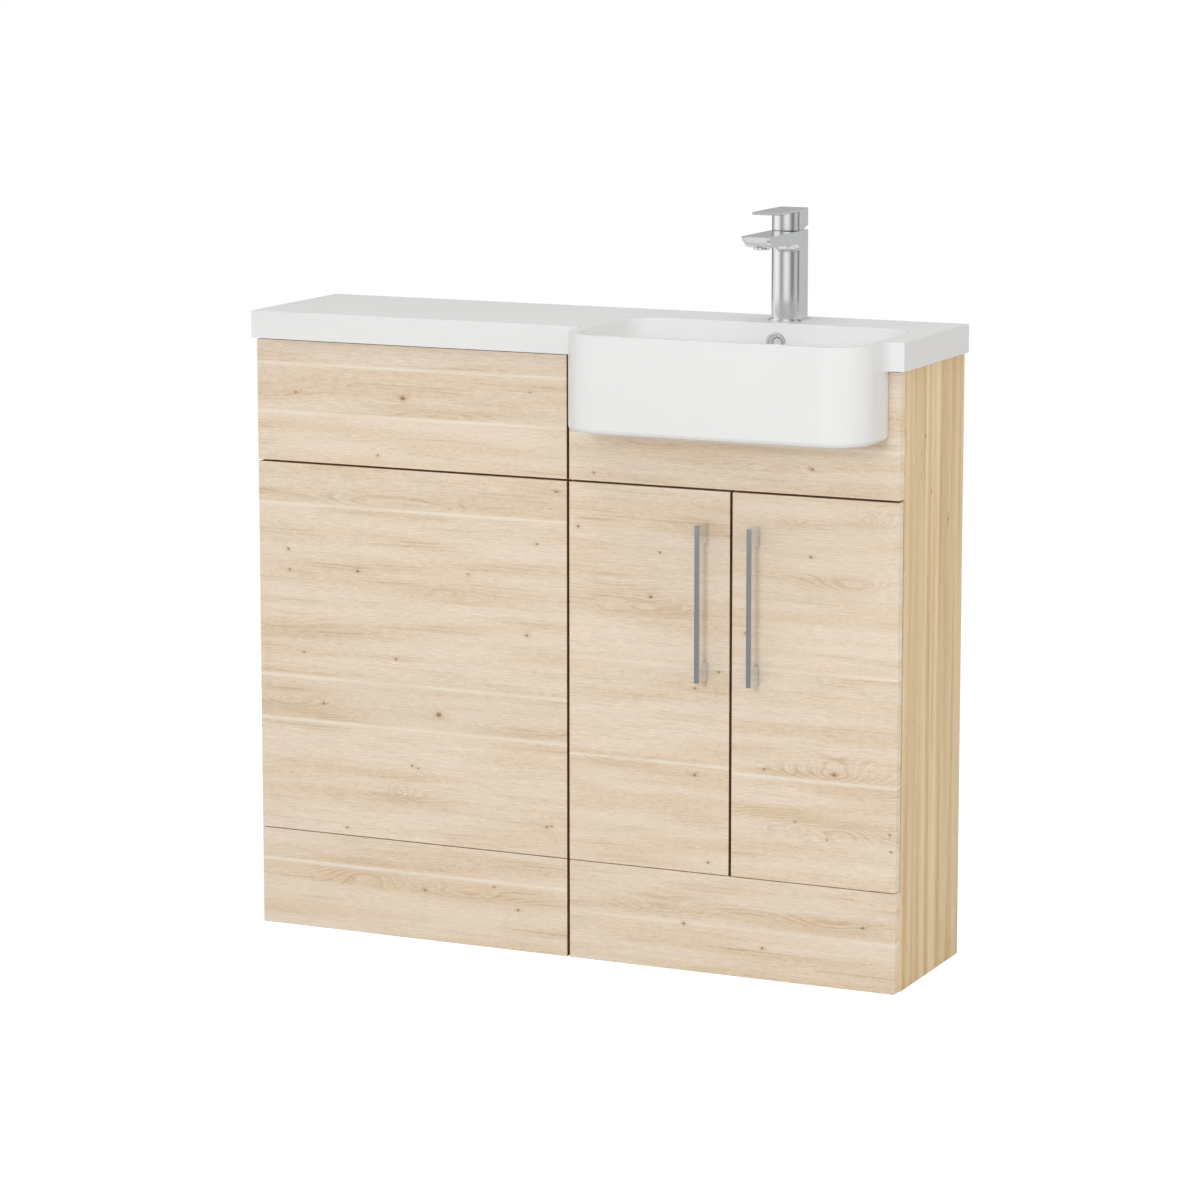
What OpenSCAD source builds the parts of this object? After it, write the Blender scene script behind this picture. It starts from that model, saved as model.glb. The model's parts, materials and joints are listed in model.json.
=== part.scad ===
// Toilet and basin combination unit: two slim floor cabinets side by side under one cast
// top with a half-recessed bowl. The left cabinet hides a cistern behind a removable panel,
// and the right one is a two-door cupboard below the bowl.
//
// Every piece is drawn with X = 0 where the cabinets meet, Y = 0 at the faces of the doors
// and panels with +Y towards the wall, and Z = 0 on the floor. site() then moves it so that
// the origin is below the middle of the whole unit.

/* [Cabinets] */
// Width of the toilet cabinet
unit_w = 500; // [450:5:600]
// Depth from the faces of the doors and panels to the wall
cab_d = 250; // [240:5:320]
// Height of the cabinets, up to the underside of the top
cab_h = 870; // [850:5:900]
// Thickness of the carcass boards
board_t = 18; // [15:0.5:19]
// Thickness of the fixed front panels
front_t = 18; // [16:0.5:20]
// How far each front stops short of the outer face of its cabinet
reveal = 2; // [1:0.5:3]
// Height of the plinths
plinth_h = 143; // [120:1:170]
// Gap above the plinths
plinth_gap = 1; // [0.5:0.5:2]
// Height of the upper panels
upper_h = 176; // [160:1:190]
// Width of the joint between the upper panels and the doors
joint_gap = 3; // [2:0.5:4]
// Gap between the upper panels and the top
top_gap = 2; // [1:0.5:3]
// Height of the back rails
back_rail_h = 100; // [80:5:110]
// Height of the rails behind the joint
mid_rail_h = 50; // [40:2:60]
// Gap at the back of the base and of the shelf that pipes pass through
service_gap = 30; // [20:2:40]

/* [Shelf and fixings] */
// Height of the shelf's underside
shelf_z = 380; // [300:5:420]
// Thickness of the shelf
shelf_t = 16; // [12:1:18]
// Setback of the shelf from the front panels' back faces
shelf_setback = 24; // [15:1:40]
// Radius of the shelf pins
shelf_pin_r = 2.5; // [2:0.5:3]
// Length of the shelf pins that stands out of the sides
shelf_pin_out = 9; // [7:0.5:12]
// Depth of the shelf pins' holes in the sides
shelf_pin_in = 8; // [6:0.5:10]
// Distance from the shelf's front and back edges to its pins
shelf_pin_inset = 30; // [20:1:50]
// Edge length of the plastic fixing blocks
block_w = 16; // [12:1:20]
// Length of the plastic fixing blocks
block_l = 30; // [20:2:40]
// Distance from the main panel's lower edge to its lowest fixing blocks
block_low = 60; // [40:1:100]
// Distance from the main panel's upper edge to its highest fixing blocks
block_high = 100; // [80:1:140]
// Gap between the front rail and the fixing blocks above it
block_gap = 4; // [2:0.5:8]
// Leg length of the wall brackets
bracket_leg = 30; // [26:1:34]
// Width of the wall brackets
bracket_w = 24; // [18:1:30]
// Sheet thickness of the wall brackets
bracket_t = 2; // [1.5:0.5:3]
// Radius of the screw holes in the wall brackets
bracket_hole_r = 3; // [2:0.25:4]
// Height of the wall brackets' middle
bracket_z = 640; // [600:5:660]

/* [Doors and hinges] */
// Gap between the two doors
door_gap = 4; // [3:0.5:5]
// Thickness of the soft buffers between the doors and the carcass
buffer_t = 2; // [1.5:0.25:3]
// Radius of the soft buffers
buffer_r = 4; // [3:0.5:5]
// Distance of the soft buffers from the middle of the door gap
buffer_off = 20; // [12:1:40]
// Radius of the hinge cups
cup_r = 17.5; // [13:0.5:18]
// Depth of the hinge cups in the doors
cup_depth = 11.5; // [10:0.5:12]
// Distance from a door's outer edge to its hinge cups
cup_edge = 5; // [3:0.5:7]
// Wall of the hinge cups
cup_wall = 1.2; // [1:0.1:1.5]
// Thickness of the hinge cups' lips
cup_lip = 1.2; // [1:0.1:1.6]
// How far the hinge cups' lips stand out above and below
lip_out = 6; // [4:0.5:8]
// Gap between the hinge cups' lips and the hinge arms
arm_clear = 0.6; // [0.4:0.1:1]
// Distance from a door's end to the middle of its nearest hinge
hinge_in = 90; // [70:5:120]
// Width of the hinge arms
arm_w = 14; // [12:1:18]
// Height of the hinge arms over the side panel
arm_t = 13; // [11:1:15]
// Length of the hinge arms
arm_l = 58; // [50:1:70]
// Sheet thickness of the hinge arms
arm_wall = 2; // [1:0.25:2.5]
// Reach of the arms' noses over the hinge cups
nose_w = 22; // [18:1:26]
// Length of the arms' noses
nose_l = 12; // [8:1:14]
// Distance from the arms' front ends to the mounting plates
plate_in = 18; // [15:1:24]
// Thickness of the hinge mounting plates
plate_t = 2; // [1.5:0.5:3]
// Height of the hinge mounting plates
plate_h = 48; // [40:2:56]
// Length of the hinge mounting plates
plate_l = 30; // [24:1:36]
// Radius of the screw holes in the mounting plates
plate_hole_r = 2.2; // [1.5:0.1:2.5]

/* [Handles] */
// Length of the handle bars
handle_l = 223; // [160:1:260]
// Width of the handle bars
handle_w = 7.5; // [6:0.5:12]
// Thickness of the handle bars
handle_t = 6; // [5:0.5:8]
// Reach of the handles in front of the doors
handle_reach = 30; // [25:1:40]
// Length of each handle foot along the bar
handle_foot = 27; // [15:1:40]
// Distance from the middle of the door gap to the middle of a handle
handle_off = 39; // [30:1:60]
// Distance from a door's top edge to its handle's top end
handle_drop = 45; // [30:1:90]
// Radius of the handle screws
handle_screw_r = 2; // [1.5:0.25:2.5]
// Depth of the handle screws in the handle feet
handle_screw_in = 14; // [8:1:18]
// Radius of the handle screws' heads
screw_head_r = 4; // [3.5:0.25:5]
// Thickness of the handle screws' heads
screw_head_t = 2; // [1.5:0.25:3]

/* [Top and bowl] */
// Thickness of the top at its edges
top_h = 40; // [35:1:50]
// Overhang of the top in front of the panels
top_front = 9; // [4:1:15]
// Overhang of the top past the toilet cabinet
top_left = 2; // [1:0.5:10]
// Overhang of the top past the basin cabinet
top_right = 6; // [1:0.5:10]
// Thickness of the top's skin over its hollow underside
skin_t = 14; // [10:0.5:18]
// Thickness of the skirt round the hollow underside
skirt_t = 14; // [12:0.5:16]
// Outer width of the bowl, which sets the width of the basin cabinet
bowl_w = 450; // [400:5:550]
// Gap between the bowl and the basin cabinet's outer side
bowl_side = 2; // [2:0.5:12]
// Gap between the bowl and the basin cabinet's side at the joint
bowl_join = 12; // [2:1:24]
// Reach of the bowl in front of the panels
bowl_reach = 109; // [80:1:150]
// How far the bowl hangs below the underside of the top
bowl_drop = 96; // [85:1:110]
// Thickness of the bowl's walls
bowl_wall = 13; // [10:0.5:16]
// Thickness of the bowl's floor
bowl_floor = 16; // [14:0.5:20]
// Depth of the flat deck behind the bowl
deck_d = 103; // [100:1:120]
// Outer radius of the bowl's upright corners
bowl_r = 59; // [40:1:70]
// Inner radius of the bowl's upright corners
bowl_inner_r = 42; // [30:1:50]
// Rounding of the bowl's lower outer edges
bowl_edge_r = 7; // [3:0.5:10]
// Rounding between the bowl's walls and its floor
bowl_floor_r = 24; // [10:1:28]
// Hollow rounding between the top's front edge and the bowl's sides
join_r = 13; // [5:1:18]
// Clearance between the bowl and the upper panel
bowl_clear = 1.5; // [1:0.25:2]

/* [Overflow and waste] */
// Height of the overflow's middle below the rim
overflow_drop = 28; // [24:1:34]
// Radius of the overflow hole in the bowl's wall
overflow_r = 11; // [9:0.5:12]
// Outer radius of the overflow ring
ring_r = 15; // [13:0.5:18]
// Inner radius of the overflow ring
ring_hole_r = 9.5; // [7:0.5:10]
// Thickness of the overflow ring's lip
ring_lip = 2; // [1:0.5:3]
// Width of the overflow duct
duct_w = 36; // [26:1:44]
// Depth of the overflow duct
duct_t = 7; // [5:0.5:8]
// Wall of the overflow duct
duct_wall = 5; // [4:0.5:6]
// Distance from the bowl's back wall to the middle of the waste
waste_in = 72; // [68:1:76]
// Radius of the waste hole in the bowl's floor
waste_hole_r = 21.5; // [21:0.25:23]
// Radius of the waste's flange
waste_flange_r = 31.5; // [30:0.5:36]
// Thickness of the waste's flange
waste_flange_t = 2.5; // [2:0.25:4]
// Outer radius of the waste's threaded tail
tail_r = 20.5; // [19:0.25:20.75]
// Wall of the waste's tail
tail_wall = 3; // [2:0.25:4]
// Length of the waste's tail below the bowl
tail_l = 66; // [60:1:72]
// Radius of the plug
plug_r = 29; // [26:0.5:30]
// Height of the plug's dome
plug_h = 5; // [3:0.5:8]
// Thickness of the plug's rim
plug_rim = 2; // [1.5:0.25:3]
// Radius of the plug's stem
stem_r = 4; // [3:0.25:5]
// How far the plug's stem reaches below its guide
stem_out = 6; // [4:0.5:12]
// Height of the guide for the plug's stem
spider_h = 12; // [8:1:16]
// Wall of the guide for the plug's stem, and thickness of its three arms
spider_wall = 3; // [2:0.25:4]
// Thickness of the seal under the bowl
seal_t = 3; // [2:0.5:4]
// Height of the back nut under the bowl
waste_nut_h = 9; // [7:0.5:12]
// Radial clearance of the sliding and turning fits
fit = 0.06; // [0.02:0.01:0.1]

/* [Trap] */
// Outer radius of the bottle trap
trap_r = 30; // [28:0.5:32]
// Height of the bottle trap's body
trap_h = 96; // [80:2:110]
// Wall of the trap
trap_wall = 3; // [2:0.25:4]
// Outer radius of the dip tube in the trap
dip_r = 17; // [15:0.5:18]
// Height of the trap's cup
cup_h = 34; // [28:1:40]
// Height of the trap's nuts
trap_nut_h = 20; // [16:1:24]
// Wall of the trap's nuts
trap_nut_wall = 3.5; // [3:0.25:4.5]
// Length of the trap's neck
neck_l = 8; // [6:0.5:10]
// Wall of the trap's neck
neck_wall = 3; // [2:0.25:3.5]
// Length of the trap's outlet past the bottle
stub_l = 14; // [10:1:20]
// Wall of the trap's outlet
stub_wall = 5; // [3:0.25:5]
// How far the dip tube stops short of the bottle's lower end
dip_gap = 20; // [14:1:26]
// How far the cup overlaps the bottle
cup_over = 14; // [10:1:18]
// How far the outlet's nut reaches past the outlet
nut_over = 8; // [6:0.5:10]
// Outer radius of the waste pipe
pipe_r = 16; // [15:0.5:17]
// Wall of the waste pipe
pipe_wall = 2; // [1.5:0.25:3]

/* [Tap] */
// Width of the tap's column and lever
tap_w = 42; // [40:0.5:46]
// Depth of the flat sides of the tap's column
tap_side = 33; // [30:0.5:36]
// How far the column's curved front bulges past its flat sides
tap_bulge = 9; // [6:0.5:12]
// Distance from the wall to the column's back
tap_back = 36; // [34:0.5:44]
// Distance from the column's back to the tap's axis
tap_axis = 19; // [17:0.5:20]
// Height of the tap's column above the deck
tap_h = 128; // [110:1:160]
// Spread of the base ring round the column
base_spread = 2.5; // [1:0.5:4]
// Thickness of the base ring
base_t = 3; // [2:0.5:5]
// Reach of the spout's tip from the column's back
spout_reach = 148; // [130:1:160]
// Depth of the spout
spout_h = 16; // [14:0.5:20]
// Slant of the spout's tip, measured along the spout
spout_slant = 17; // [10:1:22]
// Radius of the rounding between the spout and the column
spout_fillet = 14; // [8:1:20]
// Distance from the spout's tip to the aerator's middle
aerator_in = 27; // [26:0.5:32]
// Radius of the aerator
aerator_r = 11.5; // [10:0.25:12]
// How far the aerator stands below the spout
aerator_out = 4; // [2:0.5:6]
// Depth of the aerator in the spout
aerator_in_h = 8; // [6:0.5:10]
// Wall of the aerator
aerator_wall = 1.5; // [1:0.25:2]
// Height of the aerator's mesh
aerator_mesh_h = 2; // [1:0.25:3]
// Radius of the cartridge
cartridge_r = 13; // [12:0.5:14]
// Depth of the cartridge in the column
cartridge_h = 36; // [30:1:42]
// Radius of the turning turret
turret_r = 8; // [7:0.25:8.5]
// Depth of the turret in the cartridge
turret_in = 14; // [10:1:18]
// Width of the square spindle
spindle_w = 7; // [6:0.25:8]
// Radius of the spindle's cross pin
trunnion_r = 2; // [1.5:0.1:2.5]
// Height of the cross pin above the column
trunnion_up = 6; // [5:0.5:7]
// Height of the turret's cheeks above the cross pin
turret_cheek = 5; // [4:0.25:6]
// Distance from the lever plate's underside to the spindle's top
spindle_under = 5; // [3:0.5:7]
// Room above the turret in the lever's hub
hub_room = 4; // [3:0.5:5]
// Gap between the column and the lever's hub
lever_gap = 2; // [1.5:0.25:3]
// Height of the lever's hub
hub_h = 25; // [22:1:30]
// Thickness of the lever plate
lever_t = 4; // [3:0.5:6]
// Reach of the lever from the column's back
lever_reach = 106; // [80:1:120]
// Height of the chamfer at the hub's lower back edge
hub_chamfer = 5; // [5:0.5:7]
// Length of the chamfer at the hub's lower back edge
hub_chamfer_l = 15; // [13:0.5:18]
// Clearance between the cartridge and the inside of the hub
hub_clear = 2; // [1.5:0.25:3]
// Radius of the tap hole in the deck
tap_hole_r = 17.5; // [17:0.25:18]
// Radius of the tap's inlets, which the supply tails seat in
inlet_r = 4.5; // [4:0.25:5]
// Depth of the tap's inlets
inlet_l = 20; // [14:1:30]
// Radius of the supply tails below the deck
tap_tail_r = 5; // [4.5:0.25:5.5]
// Inner radius of the supply tails
tap_tail_in_r = 3.5; // [3:0.25:4]
// Length of the supply tails below the deck, from its underside
tap_tail_out = 100; // [80:5:130]
// Length of the supply tails' lower stretch, which a supply pipe's fitting grips
tap_tail_grip = 70; // [40:5:75]
// Radius of the water ways above the inlets
way_r = 3; // [2:0.25:3.5]
// Distance from the tap's middle to each inlet, sideways
inlet_off = 8; // [7:0.25:8.5]
// Distance from the tap's middle to the inlets, forwards
inlet_fore = 7; // [6:0.25:8]
// Radius of the tap's fixing stud
stud_r = 3; // [2.5:0.25:3.5]
// Distance from the tap's middle to the stud, backwards
stud_back = 11; // [10:0.25:12]
// Depth of the fixing stud in the column
stud_in = 24; // [16:1:30]
// Length of the tap's fixing stud below the deck's skin
stud_l = 28; // [20:1:34]
// Radius of the clamp plate under the deck
clamp_r = 21; // [19:0.5:24]
// Thickness of the clamp plate
clamp_t = 3; // [2:0.25:4]
// Height of the nut on the stud
stud_nut_h = 6; // [5:0.5:8]

/* [Cistern] */
// Width of the cistern tank
tank_w = 380; // [340:5:400]
// Depth of the cistern tank
tank_d = 140; // [130:2:150]
// Height of the cistern tank
tank_h = 280; // [270:5:300]
// Distance from the underside of the top to the tank's rim
tank_drop = 60; // [50:1:64]
// Wall of the cistern tank
tank_wall = 4; // [3:0.5:5]
// Rounding of the tank's upright corners
tank_r = 20; // [10:1:30]
// Thickness of the cistern lid
lid_t = 4; // [3:0.5:5]
// Depth of the lip under the cistern lid
lid_lip = 8; // [5:0.5:12]
// Radius of the screws that hold the tank
tank_screw_r = 2.5; // [2:0.25:3]
// Depth of the tank's screws in the back rail
tank_screw_l = 14; // [10:1:16]
// Thickness of the tank screws' heads
tank_head_t = 3; // [2:0.25:4]
// Distance from the tank's rim to its screws
tank_screw_in = 24; // [14:1:30]
// Distance from the tank's middle to each of its screws
tank_screw_off = 110; // [80:5:150]
// Height of the back nuts under the tank
tank_nut_h = 12; // [8:1:14]
// Radius of the flush valve's threaded tail
flush_tail_r = 24; // [22.5:0.5:26]
// Length of the flush valve's tail below the tank
flush_tail_l = 40; // [36:1:46]
// Thickness of the flush valve's seat and guide ring
flush_seat_t = 6; // [4:0.5:8]
// Height of the flush valve's guide ring above the tank's floor
post_h = 110; // [80:5:140]
// Radius of the flush valve's three posts
post_r = 4; // [3:0.25:5]
// Outer radius of the flush pipe
flush_pipe_r = 19; // [17:0.5:20]
// Wall of the flush pipe
flush_pipe_wall = 1.5; // [1.5:0.25:2.5]
// Depth of the flush pipe in the flush valve's tail
flush_pipe_in = 14; // [8:1:20]
// How far the flush pipe's nut reaches above the back nut's height
flush_pipe_nut_up = 4; // [2:0.5:8]
// Distance from the front panels' back faces to the flush pipe's end
flush_setback = 4; // [2:0.5:10]
// Bend radius of the flush pipe
flush_bend = 60; // [50:1:70]
// Height of the flush pipe's outlet
flush_z = 330; // [320:2:360]
// Outer radius of the flush plunger's overflow tube
plunger_r = 14; // [12:0.5:16]
// Wall of the flush plunger's tube
plunger_wall = 2; // [1.5:0.25:3]
// Thickness of the flush plunger's sealing disc
disc_t = 5; // [4:0.5:8]
// Length of the flush plunger
plunger_l = 205; // [180:2:220]
// Distance from the cistern tank's end to the fill valve
fill_off = 40; // [36:1:60]
// Radius of the fill valve's column
fill_r = 10; // [8:0.5:12]
// Height of the fill valve's column
fill_h = 205; // [180:2:215]
// Radius of the fill valve's threaded inlet
fill_tail_r = 7.5; // [6.5:0.25:8.5]
// Length of the fill valve's inlet below the tank
fill_tail_l = 38; // [30:1:44]
// Thickness of the fill valve's flange
fill_flange_t = 4; // [3:0.5:6]
// Width of the fork on the fill valve
fork_w = 20; // [18:1:24]
// Gap in the fork on the fill valve
fork_gap = 6; // [5.5:0.25:8]
// Height of the float's pivot above the fill valve's column
pivot_up = 12; // [10:0.5:14]
// Radius of the float's pivot pin
float_pin_r = 2; // [1.5:0.25:2.5]
// Length of the float arm
float_arm_l = 74; // [66:1:80]
// Thickness of the float arm
float_arm_t = 5; // [4:0.25:5]
// Height of the float arm
float_arm_h = 8; // [6:0.5:10]
// Width of the float
float_w = 44; // [36:1:50]
// Height of the float
float_h = 52; // [40:1:60]
// Wall of the float
float_wall = 2; // [1.5:0.25:3]
// Radius of the access panel's push-in pins
push_pin_r = 4; // [3:0.25:5]
// Length of the access panel's push-in pins
push_pin_l = 14; // [10:1:18]
// Depth of the push-in pins' seats in the access panel
pin_seat = 8; // [5:0.5:10]
// Width of the push-in pins' sockets
socket_w = 18; // [14:1:22]
// Distance from the access panel's upper and lower edges to its pins
socket_in = 40; // [30:1:60]

/* [Hidden] */
$fn = 48;

// Colours
oak = "burlywood";
oak_edge = "tan";
cast_white = "whitesmoke";
bright = "silver";
steel = "lightsteelblue";
plastic = "gainsboro";
rubber_black = "dimgray";

// How far a cutting solid runs past the face it cuts
past = 1;
// Gap between pieces that lie beside each other without touching
loose = 0.5;
// Gap round pieces that slip into each other by hand
slip = 0.3;

// Plan of the whole unit
vanity_w = 2 * board_t + bowl_join + bowl_w + bowl_side;
total_left = unit_w + top_left;
total_right = vanity_w + top_right;
join_x = (total_left - total_right) / 2;
face_y = (bowl_reach - cab_d) / 2;

// Heights
upper_z1 = cab_h - top_gap;
upper_z0 = upper_z1 - upper_h;
joint_z = upper_z0 - joint_gap / 2;
door_z0 = plinth_h + plinth_gap;
door_z1 = upper_z0 - joint_gap;
rim_z = cab_h + top_h;
bowl_z = cab_h - bowl_drop;
floor_z = bowl_z + bowl_floor;

// Doors and hinges
door_t = front_t - buffer_t;
door_x0 = reveal;
door_x1 = (vanity_w - door_gap) / 2;
cup_x = door_x0 + cup_edge + cup_r;
hinge_zs = [door_z0 + hinge_in, door_z1 - hinge_in];
arm_y = door_t + cup_lip + arm_clear;
handle_zs = [door_z1 - handle_drop - handle_l, door_z1 - handle_drop];
handle_x = vanity_w / 2 - handle_off;
screw_zs = [handle_zs[0] + handle_foot / 2, handle_zs[1] - handle_foot / 2];

// Bowl
bowl_x0 = board_t + bowl_join;
bowl_x1 = bowl_x0 + bowl_w;
bowl_mid = (bowl_x0 + bowl_x1) / 2;
bowl_back = cab_d - deck_d;
duct_y0 = bowl_back + bowl_wall;
duct_y1 = duct_y0 + duct_t + duct_wall;
overflow_z = rim_z - overflow_drop;
waste_y = bowl_back - waste_in;
boss_r = waste_hole_r + bowl_wall;
boss_drop = duct_t + duct_wall;
boss_z = bowl_z - boss_drop;
duct_roof = bowl_z - duct_wall + past;

// Waste and trap
spider_z = boss_z - spider_h;
tail_z = boss_z - tail_l;
trap_top = tail_z - neck_l;
trap_z = trap_top - trap_h;
trap_nut_r = tail_r + neck_wall + trap_nut_wall;
trap_out_z = trap_top - trap_nut_r - loose;
stub_r = pipe_r + stub_wall;
stub_end = waste_y + trap_r + stub_l;
nut_end = stub_end + nut_over;

// Tap
tap_y1 = cab_d - tap_back;
tap_y = tap_y1 - tap_axis;
tap_side_y = tap_y1 - tap_side;
tap_top = rim_z + tap_h;
hub_z = tap_top + lever_gap;
lever_z = hub_z + hub_h;
spout_tip = tap_y1 - spout_reach;
aerator_y = spout_tip + aerator_in;
aerator_body_r = aerator_r - aerator_wall;
trunnion_z = tap_top + trunnion_up;
turret_web = 4;
turret_top = trunnion_z + turret_cheek;
spindle_top = lever_z - spindle_under;
inlet_y = tap_y - inlet_fore;
stud_y = tap_y + stud_back;
skin_z = rim_z - skin_t;

// Cistern
tank_mid = -unit_w / 2;
tank_y1 = cab_d - board_t;
tank_y0 = tank_y1 - tank_d;
tank_z1 = cab_h - tank_drop;
tank_z0 = tank_z1 - tank_h;
tank_y = (tank_y0 + tank_y1) / 2;
tank_floor = tank_z0 + tank_wall;
tank_x0 = tank_mid - tank_w / 2;
tank_x1 = tank_mid + tank_w / 2;
fill_x = tank_x0 + fill_off;
float_pivot_z = tank_floor + fill_h + pivot_up;
float_x = fill_x + float_arm_l;
float_r = 8;
fork_cheek = 6;
fork_web = 2;
socket_xs = [-unit_w + board_t, -board_t - socket_w];
socket_zs = [upper_z0 + socket_in, upper_z1 - socket_in];

// ---- helpers ----

// Moves what is drawn round the cabinets' joint to the unit's own origin
module site() {
    translate([join_x, face_y, 0]) children();
}

// Box from its lowest corner to its highest
module block(lo, hi) {
    translate(lo) cube(hi - lo);
}

// Ring or disc standing on z = 0
module ring(outer_r, inner_r, h) {
    difference() {
        cylinder(r = outer_r, h = h);
        translate([0, 0, -past]) cylinder(r = inner_r, h = h + 2 * past);
    }
}

// Turns what stands along +Z so that it lies along +Y
module along_y() {
    rotate([-90, 0, 0]) children();
}

// Half outline of a post with its lower edge rounded by e
module post_outline(r, h, e) {
    square([r - e, h]);
    translate([0, e]) square([r, h - e]);
    intersection() {
        translate([r - e, e]) circle(e);
        square([r, h]);
    }
}

// Outline of a trough: width w, height h, both lower corners rounded by e
module trough_outline(w, h, e) {
    translate([e, 0]) square([w - 2 * e, h]);
    translate([0, e]) square([w, h - e]);
    for (x = [e, w - e]) translate([x, e]) circle(e);
}

// Tub-shaped block: upright corners rounded by r, lower edges rounded by e
module tub(lo, hi, r, e) {
    size = hi - lo;
    for (x = [lo.x + r, hi.x - r], y = [lo.y + r, hi.y - r])
        translate([x, y, lo.z]) rotate_extrude() post_outline(r, size.z, e);
    translate([lo.x + r, lo.y, lo.z]) rotate([90, 0, 90])
        linear_extrude(size.x - 2 * r) trough_outline(size.y, size.z, e);
    translate([lo.x, hi.y - r, lo.z]) rotate([90, 0, 0])
        linear_extrude(size.y - 2 * r) trough_outline(size.x, size.z, e);
}

// Outline of the tap's column seen from above, grown by g all round
module column_outline(g) {
    front_r = (pow(tap_w / 2, 2) + pow(tap_bulge, 2)) / (2 * tap_bulge);
    front_y = tap_side_y - tap_bulge;
    intersection() {
        translate([-tap_w / 2 - g, front_y - g])
            square([tap_w + 2 * g, tap_side + tap_bulge + 2 * g]);
        translate([0, front_y + front_r]) circle(front_r + g, $fn = 96);
    }
}

// ---- toilet cabinet ----

module wc_side_left() {
    color(oak_edge) site()
        block([-unit_w, front_t, 0], [-unit_w + board_t, cab_d, cab_h]);
}

module wc_side_right() {
    color(oak_edge) site()
        block([-board_t, front_t, 0], [0, cab_d, cab_h]);
}

module wc_front(z0, z1) {
    block([-unit_w + reveal, 0, z0], [-reveal, front_t, z1]);
}

module wc_front_panel() {
    color(oak) site() wc_front(door_z0, door_z1);
}

module wc_plinth() {
    color(oak) site() wc_front(0, plinth_h);
}

// Removable panel in front of the cistern, drilled from behind for its push-in pins
module wc_top_panel() {
    color(oak) site() difference() {
        wc_front(upper_z0, upper_z1);
        push_pin_places() translate([0, front_t - pin_seat, 0])
            along_y() cylinder(r = push_pin_r + fit, h = pin_seat + past);
    }
}

module push_pin_places() {
    for (x = socket_xs, z = socket_zs) translate([x + socket_w / 2, 0, z]) children();
}

module wc_panel_pins() {
    color(plastic) site() push_pin_places() translate([0, front_t - pin_seat, 0])
        along_y() cylinder(r = push_pin_r, h = pin_seat + push_pin_l);
}

// Sockets on the inner faces of the sides that the panel's pins push into
module wc_panel_sockets() {
    socket_back = 6;
    color(plastic) site() difference() {
        for (x = socket_xs, z = socket_zs)
            block([x, front_t, z - socket_w / 2],
                  [x + socket_w, front_t + push_pin_l + socket_back, z + socket_w / 2]);
        push_pin_places() translate([0, front_t - past, 0])
            along_y() cylinder(r = push_pin_r + fit, h = push_pin_l + past + loose);
    }
}

module wc_mid_rail() {
    color(oak_edge) site()
        block([-unit_w + board_t, front_t, joint_z - mid_rail_h / 2],
              [-board_t, front_t + board_t, joint_z + mid_rail_h / 2]);
}

// Board at the top of the back that the cistern hangs on
module wc_back_rail() {
    color(oak_edge) site() difference() {
        block([-unit_w + board_t, cab_d - board_t, cab_h - back_rail_h],
              [-board_t, cab_d, cab_h]);
        cistern_screw_places() along_y() cylinder(r = tank_screw_r, h = tank_screw_l);
    }
}

// ---- cistern ----

// Points on the tank's back face where it is screwed to the back rail
module cistern_screw_places() {
    for (s = [-1, 1])
        translate([tank_mid + s * tank_screw_off, tank_y1, tank_z1 - tank_screw_in]) children();
}

// Box with its upright corners rounded by r
module upright_box(lo, hi, r) {
    block([lo.x + r, lo.y, lo.z], [hi.x - r, hi.y, hi.z]);
    block([lo.x, lo.y + r, lo.z], [hi.x, hi.y - r, hi.z]);
    for (x = [lo.x + r, hi.x - r], y = [lo.y + r, hi.y - r])
        translate([x, y, lo.z]) cylinder(r = r, h = hi.z - lo.z);
}

// The tank's plan drawn in by inset, from z0 to z1
module tank_box(inset, z0, z1) {
    upright_box([tank_x0 + inset, tank_y0 + inset, z0],
                [tank_x1 - inset, tank_y1 - inset, z1], tank_r - inset);
}

module cistern_tank() {
    color(plastic) site() difference() {
        tank_box(0, tank_z0, tank_z1);
        tank_box(tank_wall, tank_floor, tank_z1 + past);
        translate([tank_mid, tank_y, tank_z0 - past])
            cylinder(r = flush_tail_r + loose, h = tank_wall + 2 * past);
        translate([fill_x, tank_y, tank_z0 - past])
            cylinder(r = fill_tail_r + loose, h = tank_wall + 2 * past);
        cistern_screw_places() translate([0, -tank_wall - past, 0])
            along_y() cylinder(r = tank_screw_r + loose, h = tank_wall + 2 * past);
    }
}

// Screws from inside the tank into the back rail
module cistern_screws() {
    head_r = tank_screw_r * 2.4;
    color(steel) site() cistern_screw_places() translate([0, -tank_wall, 0]) {
        along_y() cylinder(r = tank_screw_r - fit, h = tank_wall + tank_screw_l);
        translate([0, -tank_head_t, 0]) along_y() cylinder(r = head_r, h = tank_head_t);
    }
}

// Lid that rests on the tank's rim, with a lip inside it
module cistern_lid() {
    inset = tank_wall + loose;
    color(plastic) site() {
        tank_box(0, tank_z1, tank_z1 + lid_t);
        difference() {
            tank_box(inset, tank_z1 - lid_lip, tank_z1 + past);
            tank_box(2 * inset, tank_z1 - lid_lip - past, tank_z1 + 2 * past);
        }
    }
}

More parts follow.
